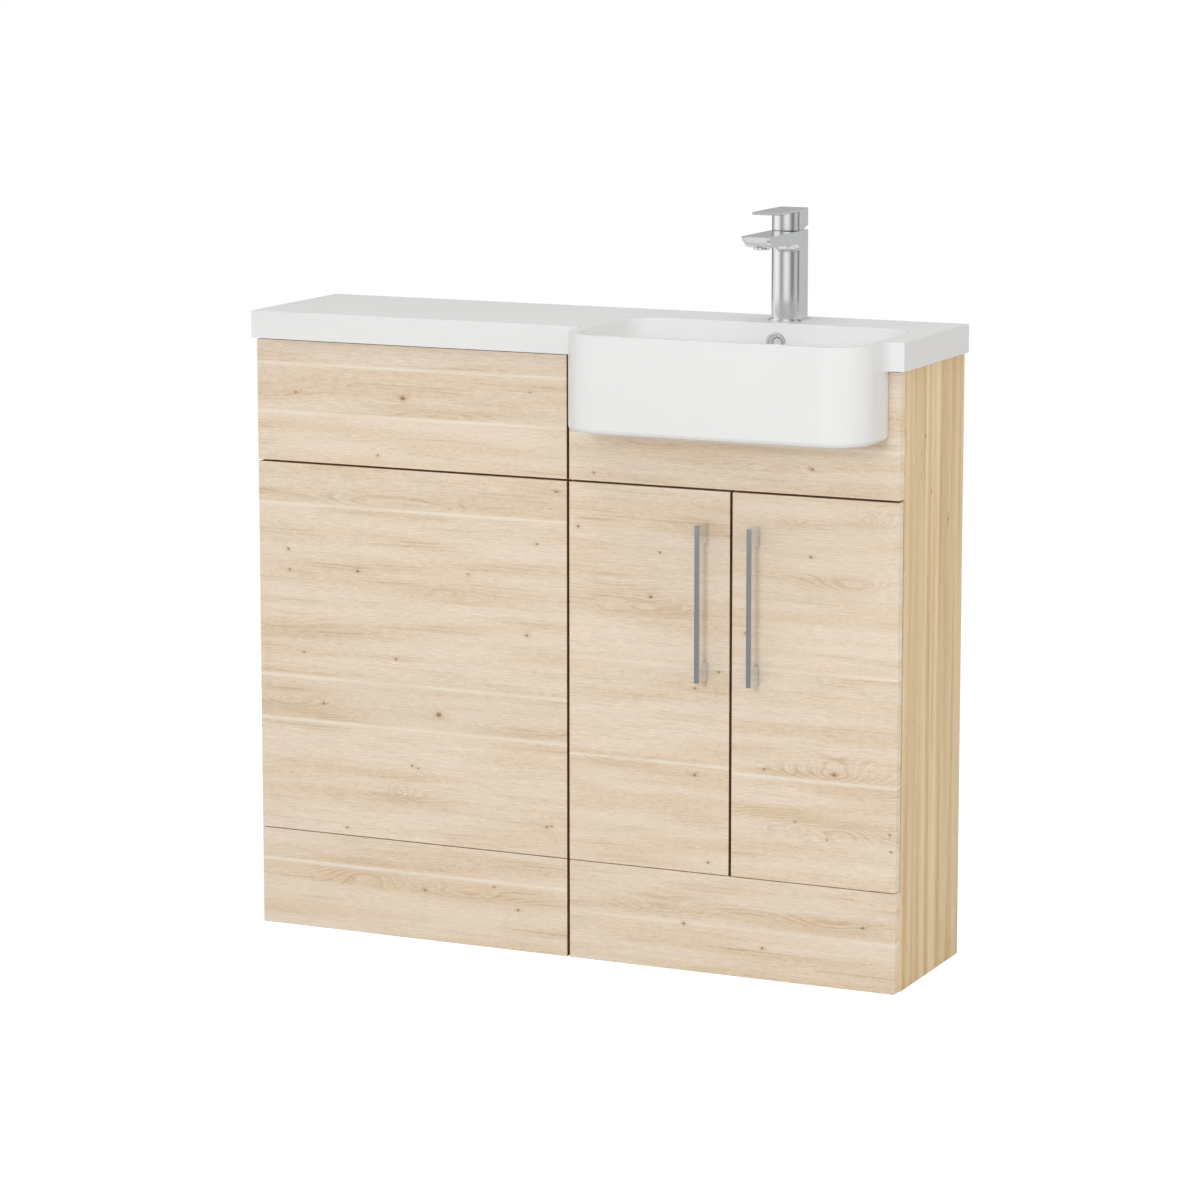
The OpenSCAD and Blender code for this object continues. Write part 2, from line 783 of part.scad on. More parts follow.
// Bottom-entry fill valve: threaded inlet, flange, column and a fork for the float arm
module fill_valve() {
    foot = tank_z0 - fill_tail_l;
    fork_z = tank_floor + fill_h;
    fork_top = float_pivot_z + fork_cheek;
    half = fork_w / 2;
    color(plastic) site() translate([fill_x, tank_y, 0]) {
        difference() {
            union() {
                translate([0, 0, foot])
                    cylinder(r = fill_tail_r, h = fill_tail_l + tank_wall + past);
                translate([0, 0, tank_floor])
                    cylinder(r = fill_tail_r * 2, h = fill_flange_t);
                translate([0, 0, tank_floor]) cylinder(r = fill_r, h = fill_h);
            }
            translate([0, 0, foot - past]) cylinder(r = fill_tail_r * 0.6, h = fill_h);
        }
        difference() {
            block([-fill_r, -half, fork_z], [fill_r, half, fork_top]);
            block([-fill_r - past, -fork_gap / 2, fork_z + fork_web],
                  [fill_r + past, fork_gap / 2, fork_top + past]);
            translate([0, -half - past, float_pivot_z])
                along_y() cylinder(r = float_pin_r + fit, h = fork_w + 2 * past);
        }
    }
}

// Arm that turns in the fill valve's fork, with its pivot pin moulded on
module float_arm() {
    pin_l = fork_w - 2 * past;
    color(plastic) site() translate([fill_x, tank_y, float_pivot_z]) {
        translate([0, -pin_l / 2, 0]) along_y() cylinder(r = float_pin_r, h = pin_l);
        block([-fork_cheek, -float_arm_t / 2, -float_arm_h / 2],
              [float_arm_l, float_arm_t / 2, float_arm_h / 2]);
    }
}

// Cup-shaped float that hangs below the end of its arm, open downwards
module float() {
    half = float_w / 2;
    inner = half - float_wall;
    color("white") site() translate([float_x, tank_y, float_pivot_z - float_arm_h / 2])
        difference() {
            upright_box([-half, -half, -float_h], [half, half, 0], float_r);
            upright_box([-inner, -inner, -float_h - past], [inner, inner, -float_wall],
                        float_r - float_wall);
        }
}

// Flush valve: threaded tail, seat, three posts and a guide ring for the plunger
module flush_valve() {
    post_gap = 4;
    post_off = flush_tail_r + post_gap + post_r;
    rim_r = post_off + post_gap / 2 + post_r;
    vent_off = (plunger_r + post_off + post_gap) / 2;
    foot = tank_z0 - flush_tail_l;
    tail = flush_tail_l + tank_wall + flush_seat_t;
    color(plastic) site() translate([tank_mid, tank_y, 0]) {
        difference() {
            union() {
                translate([0, 0, foot]) cylinder(r = flush_tail_r, h = tail);
                translate([0, 0, tank_floor]) cylinder(r = rim_r, h = flush_seat_t);
            }
            translate([0, 0, foot - past])
                cylinder(r = flush_pipe_r + slip, h = tail + 2 * past);
        }
        for (i = [0:2]) rotate(i * 120 + 30) translate([post_off, 0, tank_floor + past])
            cylinder(r = post_r, h = post_h);
        translate([0, 0, tank_floor + post_h]) difference() {
            ring(rim_r, plunger_r + slip, flush_seat_t);
            for (i = [0:2]) rotate(i * 120 - 30) translate([vent_off, 0, -past])
                cylinder(r = post_r, h = flush_seat_t + 2 * past);
        }
    }
}

// Plunger: sealing disc at the foot of the overflow tube, which lifts to flush
module flush_plunger() {
    inner = plunger_r - plunger_wall;
    color("white") site() translate([tank_mid, tank_y, tank_floor + flush_seat_t]) {
        ring(flush_tail_r, inner, disc_t);
        ring(plunger_r, inner, plunger_l);
    }
}

// Back nut and pipe nut on the flush valve, and back nut on the fill valve
module cistern_nuts() {
    back_wall = 9;
    pipe_nut_wall = 7;
    color(plastic) site() {
        translate([tank_mid, tank_y, tank_z0 - tank_nut_h])
            ring(flush_tail_r + back_wall, flush_tail_r + fit, tank_nut_h);
        translate([tank_mid, tank_y, tank_z0 - flush_tail_l])
            ring(flush_tail_r + pipe_nut_wall, flush_tail_r + fit, tank_nut_h + flush_pipe_nut_up);
        translate([fill_x, tank_y, tank_z0 - tank_nut_h])
            ring(fill_tail_r * 2, fill_tail_r + fit, tank_nut_h);
    }
}

// Flush pipe: down from the flush valve and forward to where the pan connects
module flush_pipe() {
    top_z = tank_z0 - flush_tail_l + flush_pipe_in;
    bend_z = flush_z + flush_bend;
    bend_y = tank_y - flush_bend;
    end_y = front_t + flush_setback;
    inner = flush_pipe_r - flush_pipe_wall;
    color(plastic) site() translate([tank_mid, 0, 0]) {
        translate([0, tank_y, bend_z]) ring(flush_pipe_r, inner, top_z - bend_z);
        translate([0, bend_y, bend_z]) rotate([90, 0, 90]) rotate_extrude(angle = -90)
            translate([flush_bend, 0]) difference() {
                circle(flush_pipe_r);
                circle(inner);
            }
        if (bend_y > end_y) translate([0, end_y, flush_z]) along_y()
            ring(flush_pipe_r, inner, bend_y - end_y);
    }
}

// ---- basin cabinet ----

module vanity_side_left() {
    color(oak_edge) site() difference() {
        block([0, front_t, 0], [board_t, cab_d, cab_h]);
        shelf_pin_places() shelf_pin_hole();
    }
}

module vanity_side_right() {
    color(oak_edge) site() difference() {
        block([vanity_w - board_t, front_t, 0], [vanity_w, cab_d, cab_h]);
        shelf_pin_places() shelf_pin_hole();
    }
}

module vanity_base() {
    color(oak_edge) site()
        block([board_t, front_t, door_z0],
              [vanity_w - board_t, cab_d - service_gap, door_z0 + board_t]);
}

module vanity_front_rail() {
    color(oak_edge) site()
        block([board_t, front_t, joint_z - mid_rail_h / 2],
              [vanity_w - board_t, front_t + board_t, joint_z + mid_rail_h / 2]);
}

module vanity_back_rail() {
    color(oak_edge) site()
        block([board_t, cab_d - board_t, cab_h - back_rail_h],
              [vanity_w - board_t, cab_d, cab_h]);
}

module vanity_plinth() {
    color(oak) site() block([reveal, 0, 0], [vanity_w - reveal, front_t, plinth_h]);
}

// Fixed panel with a cut-out that the bowl hangs through
module vanity_fascia() {
    cut_w = bowl_w + 2 * bowl_clear;
    cut_z = bowl_z - bowl_clear;
    color(oak) site() difference() {
        block([reveal, 0, upper_z0], [vanity_w - reveal, front_t, upper_z1]);
        translate([bowl_x0 - bowl_clear, front_t + past, cut_z]) rotate([90, 0, 0])
            linear_extrude(front_t + 2 * past)
                trough_outline(cut_w, upper_z1 - cut_z + past, bowl_edge_r + bowl_clear);
    }
}

// Points on the inner faces of the sides, just under the shelf
module shelf_pin_places() {
    y0 = front_t + shelf_setback + shelf_pin_inset;
    y1 = cab_d - service_gap - shelf_pin_inset;
    for (y = [y0, y1]) {
        translate([board_t, y, shelf_z - shelf_pin_r]) children();
        translate([vanity_w - board_t, y, shelf_z - shelf_pin_r]) mirror([1, 0, 0]) children();
    }
}

module shelf_pin_hole() {
    translate([-shelf_pin_in - loose, 0, 0]) rotate([0, 90, 0])
        cylinder(r = shelf_pin_r + fit, h = shelf_pin_in + loose + past);
}

module shelf_pins() {
    color(steel) site() shelf_pin_places() translate([-shelf_pin_in, 0, 0]) rotate([0, 90, 0])
        cylinder(r = shelf_pin_r, h = shelf_pin_in + shelf_pin_out);
}

module vanity_shelf() {
    color(oak_edge) site()
        block([board_t + loose, front_t + shelf_setback, shelf_z],
              [vanity_w - board_t - loose, cab_d - service_gap, shelf_z + shelf_t]);
}

// Block in the corner between a front panel and a side, mirrored with s = -1
module fixing_block(x, s, z) {
    corner = block_w * 0.8;
    translate([x, front_t, z]) scale_x(s) difference() {
        cube([block_w, block_w, block_l]);
        translate([block_w, block_w, 0]) rotate(45)
            cube([corner, corner, 3 * block_l], center = true);
    }
}

module scale_x(s) {
    mirror([s < 0 ? 1 : 0, 0, 0]) children();
}

// Plastic blocks that hold the plinths, the toilet side's main panel and the bowl's panel
module fixing_blocks() {
    plinth_block_z = plinth_h / 2 - block_l / 2;
    panel_zs = [door_z0 + block_low, (door_z0 + door_z1) / 2, door_z1 - block_high];
    fascia_block_z = joint_z + mid_rail_h / 2 + block_gap;
    color(plastic) site() {
        for (z = concat([plinth_block_z], panel_zs)) {
            fixing_block(-unit_w + board_t, 1, z);
            fixing_block(-board_t, -1, z);
        }
        fixing_block(board_t, 1, plinth_block_z);
        fixing_block(vanity_w - board_t, -1, plinth_block_z);
        fixing_block(board_t, 1, fascia_block_z);
        fixing_block(vanity_w - board_t, -1, fascia_block_z);
    }
}

// Angle bracket between a side and the wall, mirrored with s = -1
module wall_bracket(x, s) {
    hole_in = bracket_leg / 2 + bracket_t / 2;
    translate([x, cab_d, bracket_z]) scale_x(s) difference() {
        union() {
            block([0, -bracket_leg, -bracket_w / 2], [bracket_t, 0, bracket_w / 2]);
            block([0, -bracket_t, -bracket_w / 2], [bracket_leg, 0, bracket_w / 2]);
        }
        translate([hole_in, -bracket_t - past, 0])
            along_y() cylinder(r = bracket_hole_r, h = bracket_t + 2 * past);
        translate([-past, -hole_in, 0]) rotate([0, 90, 0])
            cylinder(r = bracket_hole_r, h = bracket_t + 2 * past);
    }
}

module wall_brackets() {
    color(steel) site() {
        wall_bracket(-unit_w + board_t, 1);
        wall_bracket(-board_t, -1);
        wall_bracket(board_t, 1);
        wall_bracket(vanity_w - board_t, -1);
    }
}

// ---- doors ----

// Draws the left-hand version, or its mirror image about the door gap for the right
module handed(right) {
    if (right) translate([vanity_w, 0, 0]) mirror([1, 0, 0]) children();
    else children();
}

module door(right) {
    handed(right) difference() {
        block([door_x0, 0, door_z0], [door_x1, door_t, door_z1]);
        for (z = hinge_zs) translate([cup_x, door_t - cup_depth - fit, z])
            along_y() cylinder(r = cup_r + fit, h = cup_depth + past);
        for (z = screw_zs) translate([handle_x, -past, z])
            along_y() cylinder(r = handle_screw_r + loose, h = door_t + 2 * past);
    }
}

module door_left() {
    color(oak) site() door(false);
}

module door_right() {
    color(oak) site() door(true);
}

// Soft buffers on the front edge of the base and on the front rail
module door_buffers() {
    rail_z = (joint_z - mid_rail_h / 2 + door_z1) / 2;
    color(rubber_black) site()
        for (s = [-1, 1], z = [door_z0 + board_t / 2, rail_z])
            translate([vanity_w / 2 + s * buffer_off, door_t, z])
                along_y() cylinder(r = buffer_r, h = buffer_t);
}

// Round cup let into the door, with the lip that is screwed to its back
module hinge_cups(right) {
    lip_in = 4;
    handed(right) for (z = hinge_zs) translate([cup_x, 0, z]) difference() {
        union() {
            translate([0, door_t - cup_depth, 0]) along_y()
                cylinder(r = cup_r, h = cup_depth + cup_lip);
            block([-cup_r + lip_in, door_t, -cup_r - lip_out],
                  [lip_out, door_t + cup_lip, cup_r + lip_out]);
        }
        translate([0, door_t - cup_depth + cup_wall, 0]) along_y()
            cylinder(r = cup_r - cup_wall, h = cup_depth + past);
    }
}

module hinge_cups_left() {
    color(steel) site() hinge_cups(false);
}

module hinge_cups_right() {
    color(steel) site() hinge_cups(true);
}

// Pressed arm from the cup's mouth to the mounting plate, open towards the side
module hinge_arm() {
    half = arm_w / 2;
    inner = half - arm_wall;
    translate([board_t + plate_t, arm_y, 0]) difference() {
        union() {
            block([0, 0, -half], [arm_t, arm_l, half]);
            block([0, 0, -half], [nose_w, nose_l, half]);
        }
        block([-past, nose_l + arm_wall, -inner], [arm_t - arm_wall, arm_l + past, inner]);
    }
}

module hinge_arms() {
    color(steel) site() for (right = [false, true])
        handed(right) for (z = hinge_zs) translate([0, 0, z]) hinge_arm();
}

// Mounting plate on the side's inner face, with the boss that the arm clips over
module hinge_plates() {
    boss_w = arm_w - 2 * arm_wall - 2 * loose;
    boss_h = arm_t - arm_wall - 2 * loose;
    boss_in = 2;
    hole_z = (plate_h + arm_w) / 4 + past;
    color(steel) site() for (right = [false, true])
        handed(right) for (z = hinge_zs) translate([board_t, arm_y + plate_in, z]) difference() {
            union() {
                block([0, 0, -plate_h / 2], [plate_t, plate_l, plate_h / 2]);
                block([0, boss_in, -boss_w / 2],
                      [plate_t + boss_h, plate_l - boss_in, boss_w / 2]);
            }
            for (s = [-1, 1]) translate([-past, plate_l / 2, s * hole_z])
                rotate([0, 90, 0]) cylinder(r = plate_hole_r, h = plate_t + 2 * past);
        }
}

// Square bar on two feet, drilled from behind for its screws
module handle(right) {
    handed(right) difference() {
        translate([handle_x - handle_w / 2, 0, 0]) {
            block([0, -handle_reach, handle_zs[0]],
                  [handle_w, -handle_reach + handle_t, handle_zs[1]]);
            for (z = [handle_zs[0], handle_zs[1] - handle_foot])
                block([0, -handle_reach, z], [handle_w, 0, z + handle_foot]);
        }
        for (z = screw_zs) translate([handle_x, -handle_screw_in - loose, z])
            along_y() cylinder(r = handle_screw_r + fit, h = handle_screw_in + loose + past);
    }
}

module handle_left() {
    color(bright) site() handle(false);
}

module handle_right() {
    color(bright) site() handle(true);
}

module handle_screws(right) {
    handed(right) for (z = screw_zs) translate([handle_x, 0, z]) {
        translate([0, -handle_screw_in, 0])
            along_y() cylinder(r = handle_screw_r, h = handle_screw_in + door_t);
        translate([0, door_t, 0]) along_y() cylinder(r = screw_head_r, h = screw_head_t);
    }
}

module handle_screws_left() {
    color(steel) site() handle_screws(false);
}

module handle_screws_right() {
    color(steel) site() handle_screws(true);
}

// ---- top and bowl ----

// Hollow rounding where the top's front edge runs into a side of the bowl
module join_fillet(x, s) {
    translate([x, -top_front, cab_h]) scale_x(s) linear_extrude(top_h) difference() {
        translate([-join_r, -join_r]) square([join_r + past, join_r + past]);
        translate([-join_r, -join_r]) circle(join_r);
    }
}

// Duct cast behind and below the bowl, with the boss round the waste
module overflow_duct() {
    half = duct_w / 2 + duct_wall;
    block([bowl_mid - half, duct_y0 - past, boss_z], [bowl_mid + half, duct_y1, cab_h + past]);
    block([bowl_mid - half, waste_y, boss_z], [bowl_mid + half, duct_y1, bowl_z + past]);
    translate([bowl_mid, waste_y, boss_z]) cylinder(r = boss_r, h = boss_drop + past);
}

// Water way inside the duct, from the overflow hole down and forward to the waste
module overflow_channel() {
    half = duct_w / 2;
    block([bowl_mid - half, duct_y0, duct_roof - duct_t],
          [bowl_mid + half, duct_y0 + duct_t, overflow_z + overflow_r]);
    block([bowl_mid - half, waste_y, duct_roof - duct_t],
          [bowl_mid + half, duct_y0 + duct_t, duct_roof]);
    translate([bowl_mid, bowl_back - past, overflow_z])
        along_y() cylinder(r = overflow_r, h = bowl_wall + 2 * past);
}

// Cast top: slab, bowl and overflow duct in one piece
module basin_top() {
    color(cast_white) site() difference() {
        union() {
            block([-total_left, -top_front, cab_h], [total_right, cab_d, rim_z]);
            tub([bowl_x0, -bowl_reach, bowl_z],
                [bowl_x1, bowl_back + bowl_wall, rim_z], bowl_r, bowl_edge_r);
            join_fillet(bowl_x0, 1);
            join_fillet(bowl_x1, -1);
            overflow_duct();
        }
        tub([bowl_x0 + bowl_wall, -bowl_reach + bowl_wall, floor_z],
            [bowl_x1 - bowl_wall, bowl_back, rim_z + past], bowl_inner_r, bowl_floor_r);
        // hollow underside over the toilet cabinet and behind the bowl
        block([-total_left + skirt_t, -top_front + skirt_t, cab_h - past],
              [bowl_x0 - skirt_t, cab_d - skirt_t, skin_z]);
        block([bowl_x0 - skirt_t - past, duct_y1, cab_h - past],
              [total_right - skirt_t, cab_d - skirt_t, skin_z]);
        overflow_channel();
        translate([bowl_mid, waste_y, boss_z - past])
            cylinder(r = waste_hole_r, h = boss_drop + bowl_floor + 2 * past);
        translate([bowl_mid, waste_y, floor_z - waste_flange_t])
            cylinder(r = waste_flange_r + loose, h = waste_flange_t + past);
        translate([bowl_mid, tap_y, cab_h])
            cylinder(r = tap_hole_r, h = top_h + past);
    }
}

module overflow_ring() {
    color(bright) site() translate([bowl_mid, 0, overflow_z]) difference() {
        union() {
            translate([0, bowl_back - ring_lip, 0]) along_y() cylinder(r = ring_r, h = ring_lip);
            translate([0, bowl_back, 0])
                along_y() cylinder(r = overflow_r - fit, h = bowl_wall - past);
        }
        translate([0, bowl_back - ring_lip - past, 0])
            along_y() cylinder(r = ring_hole_r, h = ring_lip + bowl_wall + 2 * past);
    }
}

// ---- waste and trap ----

// Flanged waste with a threaded tail, a spider that guides the plug and overflow slots
module waste_body() {
    flange_z = floor_z - waste_flange_t;
    inner = tail_r - tail_wall;
    color(bright) site() translate([bowl_mid, waste_y, 0]) difference() {
        union() {
            translate([0, 0, flange_z]) ring(waste_flange_r, inner, waste_flange_t);
            translate([0, 0, tail_z]) ring(tail_r, inner, flange_z - tail_z + past);
            translate([0, 0, spider_z]) {
                cylinder(r = stem_r + spider_wall, h = spider_h);
                for (i = [0:2]) rotate(i * 120 + 90)
                    block([0, -spider_wall / 2, 0], [inner + past, spider_wall / 2, spider_h]);
            }
        }
        translate([0, 0, spider_z - past]) cylinder(r = stem_r + fit, h = spider_h + 2 * past);
        translate([-tail_r / 2, -tail_r - past, duct_roof - duct_t])
            cube([tail_r, 2 * tail_r + 2 * past, duct_t]);
    }
}

// Click-clack plug: low dome, rim and stem, down in its closed place
module waste_plug() {
    dome_r = (pow(plug_r, 2) + pow(plug_h, 2)) / (2 * plug_h);
    stem_z = spider_z - stem_out;
    color(bright) site() translate([bowl_mid, waste_y, 0]) {
        translate([0, 0, floor_z]) cylinder(r = plug_r, h = plug_rim);
        intersection() {
            translate([0, 0, floor_z + plug_rim + plug_h - dome_r]) sphere(dome_r, $fn = 96);
            translate([0, 0, floor_z + plug_rim / 2]) cylinder(r = plug_r, h = plug_rim + plug_h);
        }
        translate([0, 0, stem_z]) cylinder(r = stem_r, h = floor_z + plug_rim / 2 - stem_z);
    }
}

module waste_seal() {
    color(rubber_black) site() translate([bowl_mid, waste_y, boss_z - seal_t])
        ring((boss_r + waste_hole_r) / 2, tail_r + slip, seal_t);
}

module waste_nut() {
    color("white") site() translate([bowl_mid, waste_y, boss_z - seal_t - waste_nut_h])
        difference() {
            cylinder(r = boss_r, h = waste_nut_h, $fn = 6);
            translate([0, 0, -past]) cylinder(r = tail_r + fit, h = waste_nut_h + 2 * past);
        }
}

// Bottle trap: neck under the nut, bottle, dip tube and outlet stub
module trap_body() {
    color("white") site() difference() {
        union() {
            translate([bowl_mid, waste_y, trap_z]) cylinder(r = trap_r, h = trap_h);
            translate([bowl_mid, waste_y, trap_top])
                cylinder(r = tail_r + neck_wall, h = neck_l);
            translate([bowl_mid, waste_y, trap_out_z])
                along_y() cylinder(r = stub_r, h = trap_r + stub_l);
        }
        difference() {
            translate([bowl_mid, waste_y, trap_z - past])
                cylinder(r = trap_r - trap_wall, h = trap_h - trap_wall + past);
            translate([bowl_mid, waste_y, trap_z]) cylinder(r = dip_r, h = trap_h);
        }
        translate([bowl_mid, waste_y, trap_z - past])
            cylinder(r = dip_r - trap_wall, h = trap_h + neck_l + 2 * past);
        translate([bowl_mid, waste_y, trap_z - past])
            cylinder(r = dip_r + past, h = dip_gap + past);
        translate([bowl_mid, waste_y + dip_r + trap_wall, trap_out_z])
            along_y() cylinder(r = pipe_r + slip, h = trap_r + stub_l);
    }
}

// Screw-off cup that closes the bottom of the bottle
module trap_cup() {
    color("white") site() translate([bowl_mid, waste_y, trap_z + cup_over - cup_h]) difference() {
        cylinder(r = trap_r + fit + trap_wall, h = cup_h);
        translate([0, 0, cup_h - cup_over]) cylinder(r = trap_r + fit, h = cup_over + past);
        translate([0, 0, trap_wall]) cylinder(r = trap_r - trap_wall, h = cup_h);
    }
}

// Cap nut over a socket of radius socket_r and length socket_h, on a tube of radius tube_r
module cap_nut(socket_r, socket_h, tube_r) {
    difference() {
        cylinder(r = socket_r + trap_nut_wall, h = trap_nut_h);
        translate([0, 0, -past]) cylinder(r = socket_r + fit, h = socket_h + past);
        cylinder(r = tube_r + fit, h = trap_nut_h + past);
    }
}

// Nuts that close the trap's neck and its outlet
module trap_nuts() {
    color("white") site() {
        translate([bowl_mid, waste_y, trap_top + loose])
            cap_nut(tail_r + neck_wall, neck_l, tail_r);
        translate([bowl_mid, nut_end - trap_nut_h, trap_out_z])
            along_y() cap_nut(stub_r, trap_nut_h - nut_over, pipe_r);
    }
}

// Pipe from the trap to the wall, turned down a little where it sits in the trap
module waste_pipe() {
    start = waste_y + trap_r;
    color("white") site() translate([bowl_mid, 0, trap_out_z]) {
        translate([0, start, 0])
            along_y() ring(pipe_r - slip, pipe_r - pipe_wall, nut_end - start + past);
        translate([0, nut_end, 0])
            along_y() ring(pipe_r, pipe_r - pipe_wall, cab_d - nut_end);
    }
}

// ---- tap ----

// Side outline of the spout, drawn with x along the row's Y axis and y upwards
module spout_outline() {
    bottom = tap_top - spout_h;
    front = tap_side_y - tap_bulge;
    difference() {
        polygon([
            [spout_tip, tap_top],
            [spout_tip + spout_slant, bottom],
            [front - spout_fillet, bottom],
            [front, bottom - spout_fillet],
            [tap_y1, bottom - spout_fillet],
            [tap_y1, tap_top]
        ]);
        translate([front - spout_fillet, bottom - spout_fillet]) circle(spout_fillet);
    }
}

module tap_body() {
    color(bright) site() translate([bowl_mid, 0, 0]) difference() {
        union() {
            translate([0, 0, rim_z + base_t])
                linear_extrude(tap_h - base_t) column_outline(0);
            translate([-tap_w / 2, 0, 0]) rotate([90, 0, 90])
                linear_extrude(tap_w) spout_outline();
        }
        translate([0, tap_y, tap_top - cartridge_h])
            cylinder(r = cartridge_r + fit, h = cartridge_h + past);
        // water way from the cartridge along the spout to the aerator
        translate([0, aerator_y, tap_top - spout_h / 2])
            along_y() cylinder(r = spout_h / 4, h = tap_y - aerator_y);
        translate([0, aerator_y, tap_top - spout_h - past])
            cylinder(r = aerator_body_r + fit, h = aerator_in_h + past);
        // threaded inlets with the water ways above them, and the stud's hole
        for (s = [-1, 1]) translate([s * inlet_off, inlet_y, rim_z]) {
            cylinder(r = inlet_r + fit, h = base_t + inlet_l);
            cylinder(r = way_r, h = tap_h - cartridge_h + past);
        }
        translate([0, stud_y, rim_z]) cylinder(r = stud_r + fit, h = stud_in);
    }
}

// Ring between the column and the deck
module tap_base_ring() {
    color(bright) site() translate([bowl_mid, 0, rim_z]) difference() {
        linear_extrude(base_t) column_outline(base_spread);
        translate([0, tap_y, -past]) cylinder(r = tap_hole_r - past, h = base_t + 2 * past);
    }
}

// Two tubes that bring hot and cold water up into the column
module tap_tails() {
    seated = tap_tail_out - tap_tail_grip + skin_t + base_t + inlet_l - loose;
    color(bright) site() for (s = [-1, 1])
        translate([bowl_mid + s * inlet_off, inlet_y, skin_z - tap_tail_out]) {
            ring(tap_tail_r, tap_tail_in_r, tap_tail_grip);
            translate([0, 0, tap_tail_grip - past]) ring(inlet_r, tap_tail_in_r, seated + past);
        }
}

module tap_cartridge() {
    top = cartridge_h + lever_gap;
    color("ivory") site() translate([bowl_mid, tap_y, tap_top - cartridge_h]) difference() {
        cylinder(r = cartridge_r, h = top);
        translate([0, 0, top - turret_in]) cylinder(r = turret_r + fit, h = turret_in + past);
        for (s = [-1, 1]) translate([s * inlet_off, -inlet_fore, -past])
            cylinder(r = way_r, h = top - turret_in);
    }
}

// Turret that turns in the cartridge and carries the spindle between two cheeks
module tap_turret() {
    z0 = tap_top + lever_gap - turret_in;
    half = spindle_w / 2 + slip;
    color("dimgray") site() translate([bowl_mid, tap_y, 0]) difference() {
        translate([0, 0, z0]) cylinder(r = turret_r, h = turret_top - z0);
        block([-half, -turret_r - past, z0 + turret_web],
              [half, turret_r + past, turret_top + past]);
        translate([-turret_r - past, 0, trunnion_z]) rotate([0, 90, 0])
            cylinder(r = trunnion_r + fit, h = 2 * (turret_r + past));
    }
}

// Square spindle with its cross pin, up into the lever's hub
module tap_spindle() {
    half = spindle_w / 2;
    pin_half = turret_r - loose;
    color(steel) site() translate([bowl_mid, tap_y, 0]) {
        block([-half, -half, trunnion_z - 2 * trunnion_r], [half, half, spindle_top]);
        translate([-pin_half, 0, trunnion_z]) rotate([0, 90, 0])
            cylinder(r = trunnion_r, h = 2 * pin_half);
    }
}

// Lever plate on a hub that covers the cartridge, chamfered behind so that it can tilt
module tap_lever() {
    pocket_z = turret_top + hub_room;
    half = spindle_w / 2 + fit;
    color(bright) site() translate([bowl_mid, 0, 0]) difference() {
        union() {
            translate([0, 0, hub_z]) linear_extrude(hub_h + past) column_outline(0);
            block([-tap_w / 2, tap_y1 - lever_reach, lever_z],
                  [tap_w / 2, tap_y1, lever_z + lever_t]);
        }
        translate([0, tap_y, hub_z - past])
            cylinder(r = cartridge_r + hub_clear, h = pocket_z - hub_z + past);
        block([-half, tap_y - half, hub_z], [half, tap_y + half, spindle_top + fit]);
        translate([-tap_w / 2 - past, 0, 0]) rotate([90, 0, 90])
            linear_extrude(tap_w + 2 * past) polygon([
                [tap_y1 - hub_chamfer_l, hub_z - past],
                [tap_y1 - hub_chamfer_l, hub_z],
                [tap_y1 + past, hub_z + hub_chamfer],
                [tap_y1 + past, hub_z - past]
            ]);
    }
}

// Aerator screwed into the spout, with its mesh a little above its lower edge
module tap_aerator() {
    inner = aerator_body_r - aerator_wall;
    color(bright) site() translate([bowl_mid, aerator_y, tap_top - spout_h - aerator_out]) {
        ring(aerator_r, inner, aerator_out);
        ring(aerator_body_r, inner, aerator_out + aerator_in_h - past);
        translate([0, 0, past]) cylinder(r = inner + loose, h = aerator_mesh_h);
    }
}

// Fixing stud, clamp plate under the deck and its nut
module tap_fixings() {
    nut_r = stud_r * 1.9;
    notch = inlet_off + tap_tail_r + past;
    clamp_z = skin_z - clamp_t;
    color(steel) site() translate([bowl_mid, 0, 0]) {
        translate([0, stud_y, skin_z - stud_l])
            cylinder(r = stud_r, h = stud_l + skin_t + stud_in - loose);
        translate([0, 0, clamp_z]) difference() {
            translate([0, tap_y, 0]) cylinder(r = clamp_r, h = clamp_t);
            block([-notch, tap_y - clamp_r - past, -past],
                  [notch, inlet_y + tap_tail_r + past, clamp_t + past]);
            translate([0, stud_y, -past]) cylinder(r = stud_r + slip, h = clamp_t + 2 * past);
        }
        translate([0, stud_y, clamp_z - stud_nut_h]) difference() {
            cylinder(r = nut_r, h = stud_nut_h, $fn = 6);
            translate([0, 0, -past]) cylinder(r = stud_r + fit, h = stud_nut_h + 2 * past);
        }
    }
}

wc_side_left();
wc_side_right();
wc_front_panel();
wc_top_panel();
wc_plinth();
wc_mid_rail();
wc_back_rail();
wc_panel_sockets();
wc_panel_pins();
cistern_tank();
cistern_lid();
cistern_screws();
fill_valve();
float_arm();
float();
flush_valve();
flush_plunger();
cistern_nuts();
flush_pipe();
vanity_side_left();
vanity_side_right();
vanity_base();
vanity_front_rail();
vanity_back_rail();
vanity_fascia();
vanity_plinth();
vanity_shelf();
shelf_pins();
fixing_blocks();
wall_brackets();
door_left();
door_right();
door_buffers();
hinge_cups_left();
hinge_cups_right();
hinge_arms();
hinge_plates();
handle_left();
handle_right();
handle_screws_left();
handle_screws_right();
basin_top();
overflow_ring();
waste_body();
waste_seal();
waste_nut();
waste_plug();
trap_body();
trap_cup();
trap_nuts();
waste_pipe();
tap_body();
tap_base_ring();
tap_tails();
tap_cartridge();
tap_turret();
tap_spindle();
tap_lever();
tap_aerator();
tap_fixings();
